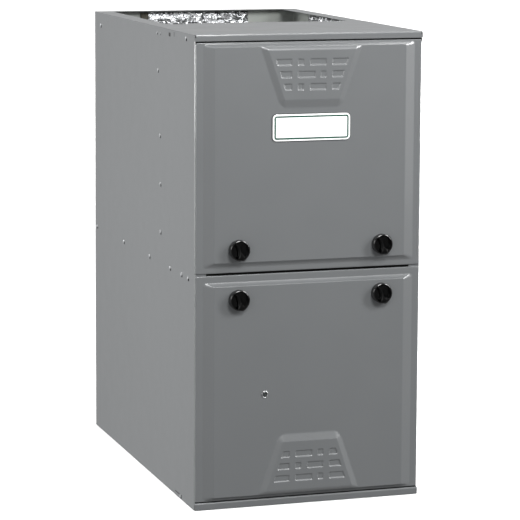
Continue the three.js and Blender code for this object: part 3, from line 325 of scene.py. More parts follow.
def galvanised():
    """Zinc coat with spangles about a centimetre across, each turned its own way."""
    zinc = Finish("galvanised_sheet", 0.42, 0.9)
    tint = zinc.node("ShaderNodeSeparateColor", {}, {"Color": zinc.cells(9.0, "Color")})
    bright = zinc.range(tint, 0.0, 1.0, 0.36, 0.58)
    grey = zinc.mix(bright, (0.0, 0.0, 0.0), (1.0, 1.0, 1.02))
    dull = zinc.range(zinc.noise(60.0, 4.0), 0.45, 0.75, 0.0, 0.35)
    zinc.feed("Base Color", zinc.mix(dull, grey, (0.30, 0.31, 0.32)))
    zinc.feed("Roughness", tint * 0.16 + zinc.noise(3.0, 3.0) * 0.14 + 0.26)
    edges = zinc.cells(9.0, "Distance", "DISTANCE_TO_EDGE")
    zinc.bump(zinc.range(edges, 0.0, 0.05) * 0.3 + zinc.noise(1.6, 3.0) * 0.4, 0.12, 0.5)
    return zinc.material


def aluminised(hot_end=None):
    """Aluminised steel, dull and finely mottled; heat has tinted it from hot_end, a y in metres."""
    steel = Finish("aluminised_sheet" if hot_end is None else "aluminised_tube", 0.45, 0.9)
    mottle = steel.noise(5.0, 6.0, 0.7)
    colour = steel.mix(mottle, (0.32, 0.325, 0.33), (0.52, 0.52, 0.515))
    if hot_end is not None:
        _, y, _ = steel.axes()
        cooler = steel.range(y + steel.noise(40.0) * 0.06, hot_end, hot_end + 0.30)
        tint = steel.ramp(cooler, [
            (0.0, (0.20, 0.21, 0.27)), (0.3, (0.40, 0.30, 0.20)), (0.65, (0.50, 0.44, 0.34)),
            (1.0, (0.5, 0.5, 0.49)),
        ])
        colour = steel.mix(0.55, colour, tint)
    steel.feed("Base Color", colour)
    steel.uneven(12.0, 5.0, 0.34, 0.55)
    steel.bump(steel.noise(0.8, 3.0) * 0.5 + mottle * 0.5, 0.12, 0.5)
    return steel.material


def foil_facing():
    """Crinkled foil over glass wool: sharp creases over soft puckers."""
    foil = Finish("foil_facing", 0.2, 1.0)
    crease = foil.cells(9.0, "Distance", "DISTANCE_TO_EDGE")
    fine = foil.cells(3.4, "Distance", "DISTANCE_TO_EDGE")
    pucker = foil.noise(16.0, 4.0, 0.65)
    tone = foil.mix(foil.noise(22.0, 3.0), (0.30, 0.31, 0.32), (0.60, 0.61, 0.62))
    fold = foil.range(foil.noise(13.0, 5.0, 0.7, (1.0, 1.0, 0.5)), 0.46, 0.62)
    foil.feed("Base Color", foil.mix(fold, tone, (0.17, 0.17, 0.175)))
    foil.uneven(6.0, 4.0, 0.22, 0.36)
    height = foil.range(crease, 0.0, 0.16) * 0.5 + foil.range(fine, 0.0, 0.14) * 0.18 + pucker * 0.8
    foil.bump(height, 1.6, 0.55)
    return foil.material


def dark_fibrous_strip():
    """A near-black, fibrous strip beside the left end of the rear foil."""
    wool = Finish("dark_fibrous_strip", 0.95, specular_ior_level=0.1)
    fibre = wool.noise(1.4, 5.0, 0.8, (1.0, 1.0, 0.2))
    wool.feed("Base Color", wool.mix(fibre, (0.012, 0.012, 0.011), (0.10, 0.095, 0.075)))
    wool.bump(fibre, 1.2, 0.8)
    return wool.material


def enamel_plate():
    """Gloss white enamel on the plate, slightly wavy as sheet is."""
    enamel = Finish("white_enamel", 0.16, coat_weight=0.4, coat_roughness=0.06)
    enamel.patched(30.0, 3.0, (0.83, 0.84, 0.84), (0.9, 0.9, 0.9))
    enamel.uneven(8.0, 3.0, 0.12, 0.22)
    enamel.bump(enamel.noise(2.0, 2.0), 0.05, 0.3)
    return enamel.material


def printed_line():
    """The plate's green border line, screen printed."""
    ink = Finish("green_ink", 0.32)
    ink.patched(1.2, 2.0, (0.0, 0.045, 0.025), (0.001, 0.06, 0.034))
    ink.bump(ink.noise(0.5, 2.0), 0.02, 0.4)
    return ink.material


def bright_plating():
    """Nickel plate, of the sight glass ring and the screws."""
    plate = Finish("bright_plating", 0.12, 1.0)
    plate.patched(2.0, 4.0, (0.42, 0.42, 0.43), (0.6, 0.6, 0.6))
    plate.uneven(1.5, 4.0, 0.08, 0.24)
    plate.bump(plate.noise(0.7, 2.0), 0.02, 0.4)
    return plate.material


def sight_glass():
    """Dark glass with a few smears."""
    glass = Finish("sight_glass", 0.05, transmission_weight=0.55, ior=1.5)
    glass.patched(4.0, 3.0, (0.05, 0.055, 0.055), (0.10, 0.11, 0.11))
    glass.feed("Roughness", glass.range(glass.noise(2.0, 4.0), 0.4, 0.8, 0.03, 0.14))
    return glass.material


def moulded(name, dark, light, gloss=0.4, grain=0.35, sheen=0.5):
    """Moulded plastic with a fine spark-eroded grain and slight sink marks."""
    plastic = Finish(name, gloss, specular_ior_level=sheen)
    plastic.patched(18.0, 4.0, dark, light)
    plastic.uneven(9.0, 4.0, gloss - 0.06, gloss + 0.08)
    plastic.bump(plastic.noise(grain, 2.0) * 0.5 + plastic.noise(14.0, 1.0) * 0.5, 0.05, 0.45)
    return plastic.material


def black_iron():
    """Black pipe and enamelled iron: mill scale, dull patches and a trace of rust."""
    iron = Finish("black_iron", 0.55, 0.5)
    scale = iron.noise(7.0, 6.0, 0.7)
    colour = iron.mix(scale, (0.018, 0.018, 0.02), (0.05, 0.05, 0.052))
    rust = iron.range(iron.noise(14.0, 6.0, 0.75), 0.66, 0.8, 0.0, 0.5)
    iron.feed("Base Color", iron.mix(rust, colour, (0.10, 0.045, 0.025)))
    iron.feed("Roughness", iron.range(scale, 0.3, 0.7, 0.42, 0.68))
    iron.bump(iron.noise(1.2, 4.0) * 0.6 + scale * 0.4, 0.2, 0.5)
    return iron.material


def cast_aluminium():
    """Die-cast aluminium with the dull, open skin it leaves the mould with."""
    cast = Finish("cast_aluminium", 0.5, 0.9)
    cast.patched(9.0, 6.0, (0.40, 0.40, 0.40), (0.60, 0.60, 0.59), 0.7)
    cast.uneven(3.0, 5.0, 0.4, 0.6)
    cast.bump(cast.noise(1.0, 3.0), 0.18, 0.6)
    return cast.material


def unglazed_ceramic():
    """Chalky fired clay."""
    clay = Finish("unglazed_ceramic", 0.75)
    clay.patched(4.0, 5.0, (0.60, 0.55, 0.46), (0.78, 0.74, 0.66))
    clay.uneven(2.0, 4.0, 0.65, 0.85)
    clay.bump(clay.noise(0.5, 3.0), 0.08, 0.6)
    return clay.material


def circuit_board():
    """Green solder mask with tracks under it and pale pads."""
    board = Finish("circuit_board", 0.35, coat_weight=0.3, coat_roughness=0.15)
    upright = {"Vector": board.coordinates, "Rotation": (math.pi / 2, 0.0, 0.0)}
    black, white = (0.0, 0.0, 0.0, 1.0), (1.0, 1.0, 1.0, 1.0)
    track = board.node("ShaderNodeTexBrick", {"offset": 0.35, "squash": 1.0}, {
        "Vector": board.node("ShaderNodeMapping", {}, upright),
        "Scale": 90.0, "Mortar Size": 0.012, "Brick Width": 0.9, "Row Height": 0.25,
        "Color1": black, "Color2": black, "Mortar": white,
    })
    mask = board.mix(track, (0.012, 0.085, 0.035), (0.03, 0.16, 0.07))
    pads = board.range(board.cells(6.0), 0.16, 0.10)
    board.feed("Base Color", board.mix(pads, mask, (0.45, 0.44, 0.40)))
    board.uneven(5.0, 3.0, 0.28, 0.45)
    board.bump(track, 0.08, 0.5)
    return board.material


def rubber_and_shade():
    """Black rubber with a slight bloom; the same black also stands in for shade in the open slit
    and slot in either side, at the lip's front corners and round the plate.
    """
    rubber = Finish("hose_rubber", 0.7, specular_ior_level=0.25)
    rubber.patched(6.0, 5.0, (0.012, 0.012, 0.012), (0.03, 0.03, 0.03))
    rubber.uneven(4.0, 4.0, 0.58, 0.8)
    rubber.bump(rubber.noise(0.8, 3.0), 0.06, 0.6)
    return rubber.material


def studio_floor():
    """Pale matt floor."""
    floor = Finish("pale_floor", 0.9)
    floor.patched(900.0, 2.0, (0.96, 0.96, 0.96), (0.975, 0.975, 0.975))
    return floor.material


PAINT = powder_coat()
CASING_PAINT = powder_coat(inner_faces=True)
ZINC = galvanised()
ALUMINISED = aluminised()
HOT_TUBE = aluminised(hot_end=CELL_Y * MM)
FOIL = foil_facing()
DARK_STRIP = dark_fibrous_strip()
ENAMEL = enamel_plate()
GREEN_INK = printed_line()
PLATING = bright_plating()
GLASS = sight_glass()
# paler paint on the buttons, dimples and the slit's edge: painted highlight
HIGHLIGHT_PAINT = moulded("paler_paint_painted_highlight", (0.26, 0.268, 0.272), (0.36, 0.37, 0.375), 0.25, 0.34, 0.6)
# near-black foam for the gap tape; also painted shade in the cover's slit and beside buttons and
# dimples
SEAL_AND_SHADE_FOAM = moulded("seal_foam_and_painted_shade", (0.0003, 0.0003, 0.0003), (0.0009, 0.0009, 0.0009), 0.8, 0.9, 0.08)
BLACK_PLASTIC = moulded(
    "black_plastic", (0.0004, 0.0004, 0.0005), (0.001, 0.001, 0.0011), 0.12, 0.24,
)
GREY_PLASTIC = moulded("grey_plastic", (0.07, 0.075, 0.08), (0.10, 0.105, 0.11), 0.5, 0.6)
WHITE_PLASTIC = moulded("white_plastic", (0.74, 0.74, 0.72), (0.82, 0.82, 0.80), 0.36)
RED_PLASTIC = moulded("red_plastic", (0.40, 0.02, 0.015), (0.50, 0.03, 0.02), 0.36)
MOTOR_SHELL = moulded("motor_black", (0.012, 0.012, 0.013), (0.026, 0.026, 0.028), 0.45, 0.9)
BLACK_IRON = black_iron()
CAST = cast_aluminium()
CERAMIC = unglazed_ceramic()
BOARD = circuit_board()
RUBBER_AND_SHADE = rubber_and_shade()

# nodes shown as they come, each with its finish
CARRIED = {
    PAINT: "top_cover base_rail centre_rail",
    CASING_PAINT: "casing_wrapper",
    ZINC: (
        "blower_deck cell_panel secondary_exchanger_coil blower_housing blower_wheel control_tray "
        "upper_left_latch_cam upper_right_latch_cam lower_left_latch_cam lower_right_latch_cam"
    ),
    FOIL: "upper_door_insulation lower_door_insulation",
    ALUMINISED: "burner_box inshot_burner_1 inshot_burner_2 inshot_burner_3 coupling_box",
    HOT_TUBE: "primary_exchanger_cell_1 primary_exchanger_cell_2 primary_exchanger_cell_3",
    BLACK_PLASTIC: "collector_box pressure_switch limit_switch rollout_switch door_switch",
    GREY_PLASTIC: "inducer_housing inducer_wheel condensate_trap",
    WHITE_PLASTIC: "vent_pipe door_switch_plunger",
    RED_PLASTIC: "gas_valve_switch rollout_reset_button",
    MOTOR_SHELL: "inducer_motor blower_motor",
    BLACK_IRON: "gas_manifold gas_supply_pipe transformer motor_mount",
    CAST: "gas_valve",
    CERAMIC: "hot_surface_igniter flame_sensor",
    BOARD: "control_board",
    RUBBER_AND_SHADE: "pressure_tube condensate_hose",
}

for finish, nodes in CARRIED.items():
    for node in nodes.split():
        for carried_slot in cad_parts[node].material_slots:
            carried_slot.material = finish

# ---- making pieces


def piece(name, mesh, material, body="root", replaces=None, smooth=35.0):
    """Links a mesh made in millimetres as a piece riding on a body."""
    mesh.transform(Matrix.Scale(MM, 4))
    mesh.materials.append(material)
    if smooth is not None:
        for polygon in mesh.polygons:
            polygon.use_smooth = True
        mesh.set_sharp_from_angle(angle=math.radians(smooth))
    made = bpy.data.objects.new(name, mesh)
    bpy.context.collection.objects.link(made)
    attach(made, body)
    if replaces is not None:
        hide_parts(replaces)
    return made


def mesh_from(name, corners, faces):
    """A mesh of corners and of faces that number them."""
    mesh = bpy.data.meshes.new(name)
    mesh.from_pydata([tuple(c) for c in corners], [], faces)
    mesh.update()
    return mesh


def from_bmesh(name, bm):
    """A mesh of an edited one, its faces turned outwards."""
    bmesh.ops.recalc_face_normals(bm, faces=bm.faces)
    mesh = bpy.data.meshes.new(name)
    bm.to_mesh(mesh)
    bm.free()
    return mesh


def spun(name, profile, sides=48):
    """Revolved about Y: each profile point is (radius, y), and no two together are on the axis."""
    corners, faces, rings = [], [], []
    for radius, y in profile:
        count = 1 if radius < 1e-6 else sides
        rings.append(range(len(corners), len(corners) + count))
        for i in range(count):
            angle = 2 * math.pi * i / sides
            corners.append((radius * math.cos(angle), y, radius * math.sin(angle)))
    for a, b in zip(rings, rings[1:]):
        for i in range(sides):
            j = (i + 1) % sides
            if len(a) == 1:
                faces.append((a[0], b[j], b[i]))
            elif len(b) == 1:
                faces.append((a[i], a[j], b[0]))
            else:
                faces.append((a[i], a[j], b[j], b[i]))
    return mesh_from(name, corners, faces)


def joined(name, meshes):
    """One mesh of several."""
    bm = bmesh.new()
    for mesh in meshes:
        bm.from_mesh(mesh)
    return from_bmesh(name, bm)


def placed(mesh, at, turn=None):
    """The mesh turned and then moved."""
    turned = turn.to_4x4() if turn is not None else Matrix()
    mesh.transform(Matrix.Translation(at) @ turned)
    return mesh


def soft_box_mesh(name, low, high, radius, segments=3):
    """A block with rounded edges."""
    bm = bmesh.new()
    bmesh.ops.create_cube(bm, size=1.0)
    for vertex in bm.verts:
        for k in range(3):
            vertex.co[k] = high[k] if vertex.co[k] > 0 else low[k]
    bmesh.ops.bevel(
        bm, geom=list(bm.edges), offset=radius, segments=segments, profile=0.5, affect="EDGES",
    )
    return from_bmesh(name, bm)


# ---- doors


def lines(*stretches):
    """Grid lines: each stretch is (from, to, step)."""
    values = []
    for start, end, step in stretches:
        count = max(1, int(math.ceil(abs(end - start) / step)))
        values.extend(np.linspace(start, end, count + 1))
    return np.unique(np.round(values, 4))


def rounded_distance(x, z, left, right, bottom, top, radius):
    """Distance outside a rounded rectangle, negative inside."""
    dx = np.abs(x - (left + right) / 2) - ((right - left) / 2 - radius)
    dz = np.abs(z - (bottom + top) / 2) - ((top - bottom) / 2 - radius)
    outside = np.hypot(np.maximum(dx, 0), np.maximum(dz, 0))
    return outside + np.minimum(np.maximum(dx, dz), 0) - radius


def pressed_slope(t, foot, brow):
    """Rise from 0 to 1 over t 0 to 1: a hollow foot, a straight flank, a tight brow."""
    t = np.clip(t, -0.2, 1.2)
    steep = 1.0 / (1.0 - foot / 2)
    low = np.clip(t / foot, 0, 1)
    rise = steep * foot * low ** 2 / 2
    rise = rise + steep * np.clip(t - foot, 0, None)
    over = np.clip(t - (1 - brow), 0, 2 * brow)
    rise = rise - steep * over ** 2 / (4 * brow) - steep * np.clip(t - (1 + brow), 0, None)
    return np.clip(rise, 0, 1)


def pillow(x, z, door):
    """The raised field of a door, 0 on the margin to 1: flat side slopes and hollow ends, mitred.

    Halving finds, for each point, the height whose outline runs through it.
    """
    low, high = np.full(x.shape, -0.3), np.full(x.shape, 1.3)
    for _ in range(26):
        t = (low + high) / 2
        # corners tighten on the way up, and the ends rise hollow
        radius = np.clip(5.6 - 2.8 * t, 2.4, 6.4)
        half = DOOR_HALF - MARGIN_SIDE - SLOPE_SIDE * t
        end = np.sign(t) * np.abs(t) ** 0.62
        bottom = door["bottom"] + door["margin_bottom"] + door["slope_bottom"] * end
        top = door["top"] - door["margin_top"] - door["slope_top"] * end
        inside = rounded_distance(x, z, -half, half, bottom, top, radius) < 0
        low = np.where(inside, t, low)
        high = np.where(inside, high, t)
    return pressed_slope((low + high) / 2, 0.10, 0.04)


def rounded_minimum(a, b, width):
    """The smaller of two, with the ridge where they cross rounded over."""
    near = np.clip(width - np.abs(a - b), 0, None) / width
    return np.minimum(a, b) - near ** 2 * width / 4


def boss(x, z, end, away):
    """The raised trapezoid, 0 on the field to 1 on its top."""
    wide, narrow, flank = BOSS["wide"], BOSS["narrow"], BOSS["flank_side"]
    foot_height = BOSS["height"] + BOSS["flank_end"]
    across = away * (z - end)
    lean = (wide - narrow) / (BOSS["height"] - BOSS["wide_at"])
    top_half = wide - lean * (across - BOSS["wide_at"])
    foot_lean = wide + flank - narrow - flank / 2
    foot_half = wide + flank - foot_lean * across / foot_height
    side = (foot_half - np.abs(x)) / np.maximum(foot_half - top_half, 1.0)
    far = (foot_height - across) / BOSS["flank_end"]
    # the wide end grows out of the door's slope, and the corners at the narrow end round over
    near = (across + 1.0) / 5.0
    corner = 1 - np.hypot(np.clip(1 - side, 0, None), np.clip(1 - far, 0, None))
    t = rounded_minimum(np.minimum(np.minimum(side, far), corner), near, 0.9)
    return pressed_slope(t, 0.22, 0.06)


def dash_depth(x, z, end, away, long_on_left):
    """The pressed dashes, 0 on the boss to 1 on their floors."""
    depth = np.zeros(x.shape)
    half = DASH["height"] / 2
    lean = (BOSS["wide"] - BOSS["narrow"]) / BOSS["height"]
    for row in range(3):
        centre = end + away * (DASH["first"] + row * DASH["pitch"])
        reach = BOSS["wide"] - lean * (away * (centre - end) - BOSS["wide_at"]) - DASH["edge_gap"]
        slant = away * lean * (z - centre)
        long_left = (row % 2 == 1) == long_on_left
        left_from, right_from = OUTER_DASHES_FROM
        spans = (
            (-reach + slant, left_from), (right_from, reach - slant),
            *(INNER_DASHES_LONG_LEFT if long_left else INNER_DASHES_LONG_RIGHT),
        )
        for left, right in spans:
            gap = rounded_distance(x, z, left, right, centre - half, centre + half, DASH["corner"])
            depth = np.maximum(depth, pressed_slope(-gap / DASH["wall"], 0.5, 0.4))
    return depth


def pressed_door(level, door, end, away, long_on_left, holes):
    """One pressed sheet: margin, hollow slopes, field, boss and dashes, edges turned back."""
    edge = 1.6
    rim = np.array((0.0, 0.12, 0.47, 0.99))
    half, low, high = DOOR_HALF, door["bottom"], door["top"]
    # grid lines: fine over slopes, boss and holes, wide apart where the sheet is flat
    slope_x = half - MARGIN_SIDE + 1
    field_x = half - MARGIN_SIDE - SLOPE_SIDE - 3
    boss_x = 108
    slope_low = low + door["margin_bottom"] - 0.5
    field_low = low + door["margin_bottom"] + door["slope_bottom"] + 3
    field_high = high - door["margin_top"] - door["slope_top"] - 3
    slope_high = high - door["margin_top"] + 0.5
    near, far = sorted((end - away * 12, end + away * (BOSS["height"] + BOSS["flank_end"] + 3)))
    xs = lines(
        (-half + edge, -slope_x, 4), (-slope_x, -field_x, 0.9), (-field_x, -boss_x, 9),
        (-boss_x, boss_x, 1.0), (boss_x, field_x, 9), (field_x, slope_x, 0.9),
        (slope_x, half - edge, 4),
        *((hx - hr - 3, hx + hr + 3, 1.0) for hx, _, hr in holes),
    )
    zs = lines(
        (low + edge, slope_low, 3), (slope_low, field_low, 0.7), (field_low, field_high, 9),
        (field_high, slope_high, 0.7), (slope_high, high - edge, 3),
        (max(near, low + edge), min(far, high - edge), 1.0),
        *((hz - hr - 3, hz + hr + 3, 1.0) for _, hz, hr in holes),
    )
    xs = thinned(np.concatenate([-half + rim, xs, half - rim]))
    zs = thinned(np.concatenate([low + rim, zs, high - rim]))
    x, z = np.meshgrid(xs, zs)
    rise = FIELD_RISE * pillow(x, z, door)
    on_field = np.clip((rise / FIELD_RISE - 0.5) * 2, 0, 1)
    rise = rise + on_field * BOSS_RISE * boss(x, z, end, away)
    rise = rise - DASH["depth"] * dash_depth(x, z, end, away, long_on_left)
    gap = rounded_distance(x, z, -half, half, low, high, DOOR_CORNER)
    fold = np.clip(gap + edge, 0, edge)
    y = MARGIN_Y - rise + edge - np.sqrt(np.maximum(edge ** 2 - fold ** 2, 0))
    # corner points outside the rounded corner come back onto it
    pull = np.clip(gap, 0, None)
    cx = np.clip(x, -half + DOOR_CORNER, half - DOOR_CORNER)
    cz = np.clip(z, low + DOOR_CORNER, high - DOOR_CORNER)
    reach = np.maximum(np.hypot(x - cx, z - cz), 1e-9)
    x, z = x - (x - cx) / reach * pull, z - (z - cz) / reach * pull

    bm = bmesh.new()
    grid = [[bm.verts.new(corner) for corner in row] for row in np.stack([x, y, z], axis=-1)]
    for j in range(len(zs) - 1):
        for i in range(len(xs) - 1):
            bm.faces.new((grid[j][i], grid[j][i + 1], grid[j + 1][i + 1], grid[j + 1][i]))
    for hx, hz, hr in holes:
        punch(bm, hx, hz, hr)
    outline = [
        e for e in bm.edges
        if e.is_boundary and all(on_outline(v, half, low, high) for v in e.verts)
    ]
    turned = bmesh.ops.extrude_edge_only(bm, edges=outline)["geom"]
    for vertex in turned:
        if isinstance(vertex, bmesh.types.BMVert):
            vertex.co.y = FRONT - GAP
    bmesh.ops.remove_doubles(bm, verts=bm.verts, dist=0.004)
    bmesh.ops.recalc_face_normals(bm, faces=bm.faces)
    facing = sum(f.normal.y * f.calc_area() for f in bm.faces)
    if facing > 0:
        bmesh.ops.reverse_faces(bm, faces=bm.faces)
    body = f"{level}_door"
    mesh = bpy.data.meshes.new(f"{body}_skin")
    bm.to_mesh(mesh)
    bm.free()
    made = piece(f"{body}_skin", mesh, PAINT, body, replaces=f"{body}_panel", smooth=50.0)
    skin = made.modifiers.new("sheet", "SOLIDIFY")
    skin.thickness = 0.9 * MM
    skin.offset = -1.0


def thinned(values, least=0.08):
    """Grid lines with those left out that stand too close to the one before."""
    values = np.unique(np.round(values, 3))
    kept = [values[0]]
    for value in values[1:]:
        if value - kept[-1] >= least:
            kept.append(value)
    kept[-1] = values[-1]
    return np.array(kept)


def on_outline(vertex, half, low, high):
    """Whether a corner of the sheet lies on the door's outer edge."""
    x, _, z = vertex.co
    return abs(rounded_distance(x, z, -half, half, low, high, DOOR_CORNER)) < 0.02


def punch(bm, x, z, radius):
    """Cuts a round hole: faces inside go, and the hole's edge is drawn onto the circle."""
    inside = [
        f for f in bm.faces
        if math.hypot(f.calc_center_median().x - x, f.calc_center_median().z - z) < radius
    ]
    bmesh.ops.delete(bm, geom=inside, context="FACES")
    for vertex in bm.verts:
        if not vertex.is_boundary:
            continue
        away = Vector((vertex.co.x - x, 0.0, vertex.co.z - z))
        if 0.01 < away.length < radius + 2.5:
            vertex.co.x = x + away.x / away.length * radius
            vertex.co.z = z + away.z / away.length * radius


def make_doors():
    upper_end = UPPER_DOOR["top"] - UPPER_DOOR["margin_top"] - UPPER_DOOR["slope_top"]
    lower_end = LOWER_DOOR["bottom"] + LOWER_DOOR["margin_bottom"] + LOWER_DOOR["slope_bottom"]
    shaft_hole = 6.0
    upper_holes = [(x, UPPER_KNOB_Z, shaft_hole) for x in (-KNOB_X, KNOB_X)]
    lower_holes = [(x, LOWER_KNOB_Z, shaft_hole) for x in (-KNOB_X, KNOB_X)]
    lower_holes.append((SIGHT_X, SIGHT_Z, SIGHT_R + 0.5))
    pressed_door("upper", UPPER_DOOR, upper_end, -1, True, upper_holes)
    pressed_door("lower", LOWER_DOOR, lower_end, 1, False, lower_holes)


make_doors()

# ---- knobs


def knob_height(u, v, radius):
    """Height over the door: a round rim, two scoops and the stepped hourglass grip between."""
    curve, crest = GRIP["waist_curve"], KNOB_RIM["crest"]
    spread = curve - np.sqrt(np.maximum(curve ** 2 - v ** 2, 1.0))
    step = pressed_slope((GRIP["ledge_half"] + spread - np.abs(u)) / GRIP["flank"], 0.2, 0.6)
    crown = pressed_slope((GRIP["top_half"] + spread - np.abs(u)) / GRIP["flank"], 0.2, 0.6)
    wall = pressed_slope((radius - KNOB_RIM["inner"]) / KNOB_RIM["wall"], 0.3, 0.3)
    bead = KNOB_RIM["top"] - KNOB_RIM["fall"] * (radius - crest) ** 2 * (radius > crest)
    inside = np.clip((GRIP["reach"] - radius) / 1.6, 0, 1)
    grip = (GRIP["ledge"] - KNOB_FLOOR) * step + (GRIP["top"] - GRIP["ledge"]) * crown * step
    return np.maximum(KNOB_FLOOR + grip * inside, KNOB_FLOOR + (bead - KNOB_FLOOR) * wall)


def make_knob(name, x, z, body, node):
    """A moulded grip whose rim has a small pointed tab, with the shaft behind it."""
    tilt = math.radians(GRIP_TILT)
    point = math.radians(POINTER["tilt"] - 90)
    around, scoop_edge = 150, 15.6
    radii = np.concatenate([np.linspace(0.4, scoop_edge, 36), np.linspace(15.85, KNOB_R, 18)])
    corners, faces = [(0.0, -knob_height(0.0, 0.0, 0.0), 0.0)], []
    for radius in radii:
        for k in range(around):
            angle = 2 * math.pi * k / around
            px, pz = radius * math.cos(angle), radius * math.sin(angle)
            u = px * math.cos(tilt) + pz * math.sin(tilt)
            v = -px * math.sin(tilt) + pz * math.cos(tilt)
            height = float(knob_height(u, v, radius))
            off = math.atan2(math.sin(angle - point), math.cos(angle - point))
            outwards = max(0.0, (radius - scoop_edge) / (KNOB_R - scoop_edge))
            tab = math.exp(-(off / POINTER["width"]) ** 2) * outwards * POINTER["reach"]
            reach = (radius + tab) / radius
            height = height - tab * 0.5
            corners.append((px * reach, -height, pz * reach))
    skirt = corners[-around:]
    for height, taper in ((4.0, 1.0), (0.6, 1.0), (0.0, 0.992)):
        corners += [(px * taper, -height, pz * taper) for px, _, pz in skirt]
    for k in range(around):
        faces.append((0, 1 + (k + 1) % around, 1 + k))
    for ring in range(len(radii) + 2):
        for k in range(around):
            a, b = 1 + ring * around + k, 1 + ring * around + (k + 1) % around
            faces.append((a, b, b + around, a + around))
    last = 1 + (len(radii) + 2) * around
    faces.append(tuple(last + k for k in range(around)))
    cap = mesh_from(name + "_cap", corners, faces)
    shaft = spun("shaft", [(0.0, 0.1), (4.6, 0.1), (4.6, 13.2), (4.0, 14.0), (0.0, 14.0)], 24)
    whole = placed(joined(name, [cap, shaft]), Vector((x, FIELD_Y - GAP, z)))
    piece(name, whole, BLACK_PLASTIC, body, replaces=node, smooth=48.0)


def make_knobs():
    for level, z in (("upper", UPPER_KNOB_Z), ("lower", LOWER_KNOB_Z)):
        for side, x in (("left", -KNOB_X), ("right", KNOB_X)):
            spot = f"{level}_{side}"
            make_knob(f"{spot}_grip", x, z, f"{spot}_latch", f"{spot}_knob")


make_knobs()

# ---- plate and sight glass


def rounded_outline(left, right, bottom, top, radius, steps=8):
    """Corners round a rounded rectangle, from its right side by way of the top."""
    points = []
    for cx, cz, start in (
        (right - radius, top - radius, 0), (left + radius, top - radius, 90),
        (left + radius, bottom + radius, 180), (right - radius, bottom + radius, 270),
    ):
        for i in range(steps + 1):
            angle = math.radians(start + 90 * i / steps)
            points.append((cx + radius * math.cos(angle), cz + radius * math.sin(angle)))
    return points


def skinned(name, rings, closed=True):
    """Joins rings of equal count into a skin, closed over the first and the last."""
    count = len(rings[0])
    corners = [corner for ring in rings for corner in ring]
    faces = []
    for r in range(len(rings) - 1):
        for i in range(count):
            a, b = r * count + i, r * count + (i + 1) % count
            faces.append((a, b, b + count, a + count))
    if closed:
        faces.append(tuple(range(count))[::-1])
        faces.append(tuple((len(rings) - 1) * count + i for i in range(count)))
    return joined(name, [mesh_from("skin", corners, faces)])


def plate_rings(*profile):
    """Rings that follow the plate's outline: each is (inset, how far it stands off the door)."""
    left, right, bottom, top, radius = -76.0, 76.0, 690.0, 740.0, 8.0
    rings = []
    for inset, stand in profile:
        outline = rounded_outline(
            left + inset, right - inset, bottom + inset, top - inset, radius - inset,
        )
        rings.append([(x, FIELD_Y - stand, z) for x, z in outline])
    return rings


def make_plate():
    """The bare white plate, its printed border and the tape that holds it, black and a little wider
    than the plate so that its rim is painted shadow round the plate's edge.
    """
    rings = plate_rings((0.3, GAP), (0.0, 0.7), (0.0, 1.4), (0.25, 1.9), (0.9, 2.15))
    plate = skinned("blank_plate", rings)
    piece("blank_plate", plate, ENAMEL, "upper_door", replaces="badge_plate", smooth=40.0)
    rings = plate_rings((3.2, 2.12), (3.2, 2.2), (6.1, 2.2), (6.1, 2.12))
    border = skinned("plate_border", rings, closed=False)
    piece("plate_border", border, GREEN_INK, "upper_door", smooth=None)
    # its black rim round the plate is painted shadow
    rings = plate_rings((1.0, 0.01), (-0.9, 0.02), (-1.1, 0.5), (-0.9, 0.9), (0.6, 0.92))
    tape = skinned("plate_shadow_tape", rings)
    piece("plate_shadow_tape", tape, RUBBER_AND_SHADE, "upper_door", smooth=40.0)


make_plate()


def make_sight_glass():
    """The rolled ring pressed into the lower door and the pane behind it."""
    r, centre = SIGHT_R, Vector((SIGHT_X, FIELD_Y, SIGHT_Z))
    ring = spun("sight_ring", [
        (r - 1.7, 3.0), (r - 0.1, 3.0), (r - 0.1, -0.2), (r + 0.5, -0.25), (r + 0.6, -0.5),
        (r + 0.4, -1.0), (r - 0.1, -1.4), (r - 0.6, -1.5), (r - 1.1, -1.3), (r - 1.5, -0.8),
        (r - 1.7, 0.4), (r - 1.7, 3.0),
    ])
    piece(
        "sight_ring", placed(ring, centre), PLATING, "lower_door",
        replaces="sight_glass_bezel", smooth=40.0,
    )
    pane = spun("sight_pane", [
        (0.0, 1.9), (r - 2.0, 1.9), (r - 2.0, 0.2), (r - 2.6, -0.2), (r - 4.4, -0.55), (0.0, -0.7),
    ], 40)
    piece(
        "sight_pane", placed(pane, centre), GLASS, "lower_door",
        replaces="sight_glass_lens", smooth=40.0,
    )


make_sight_glass()

# ---- insulation


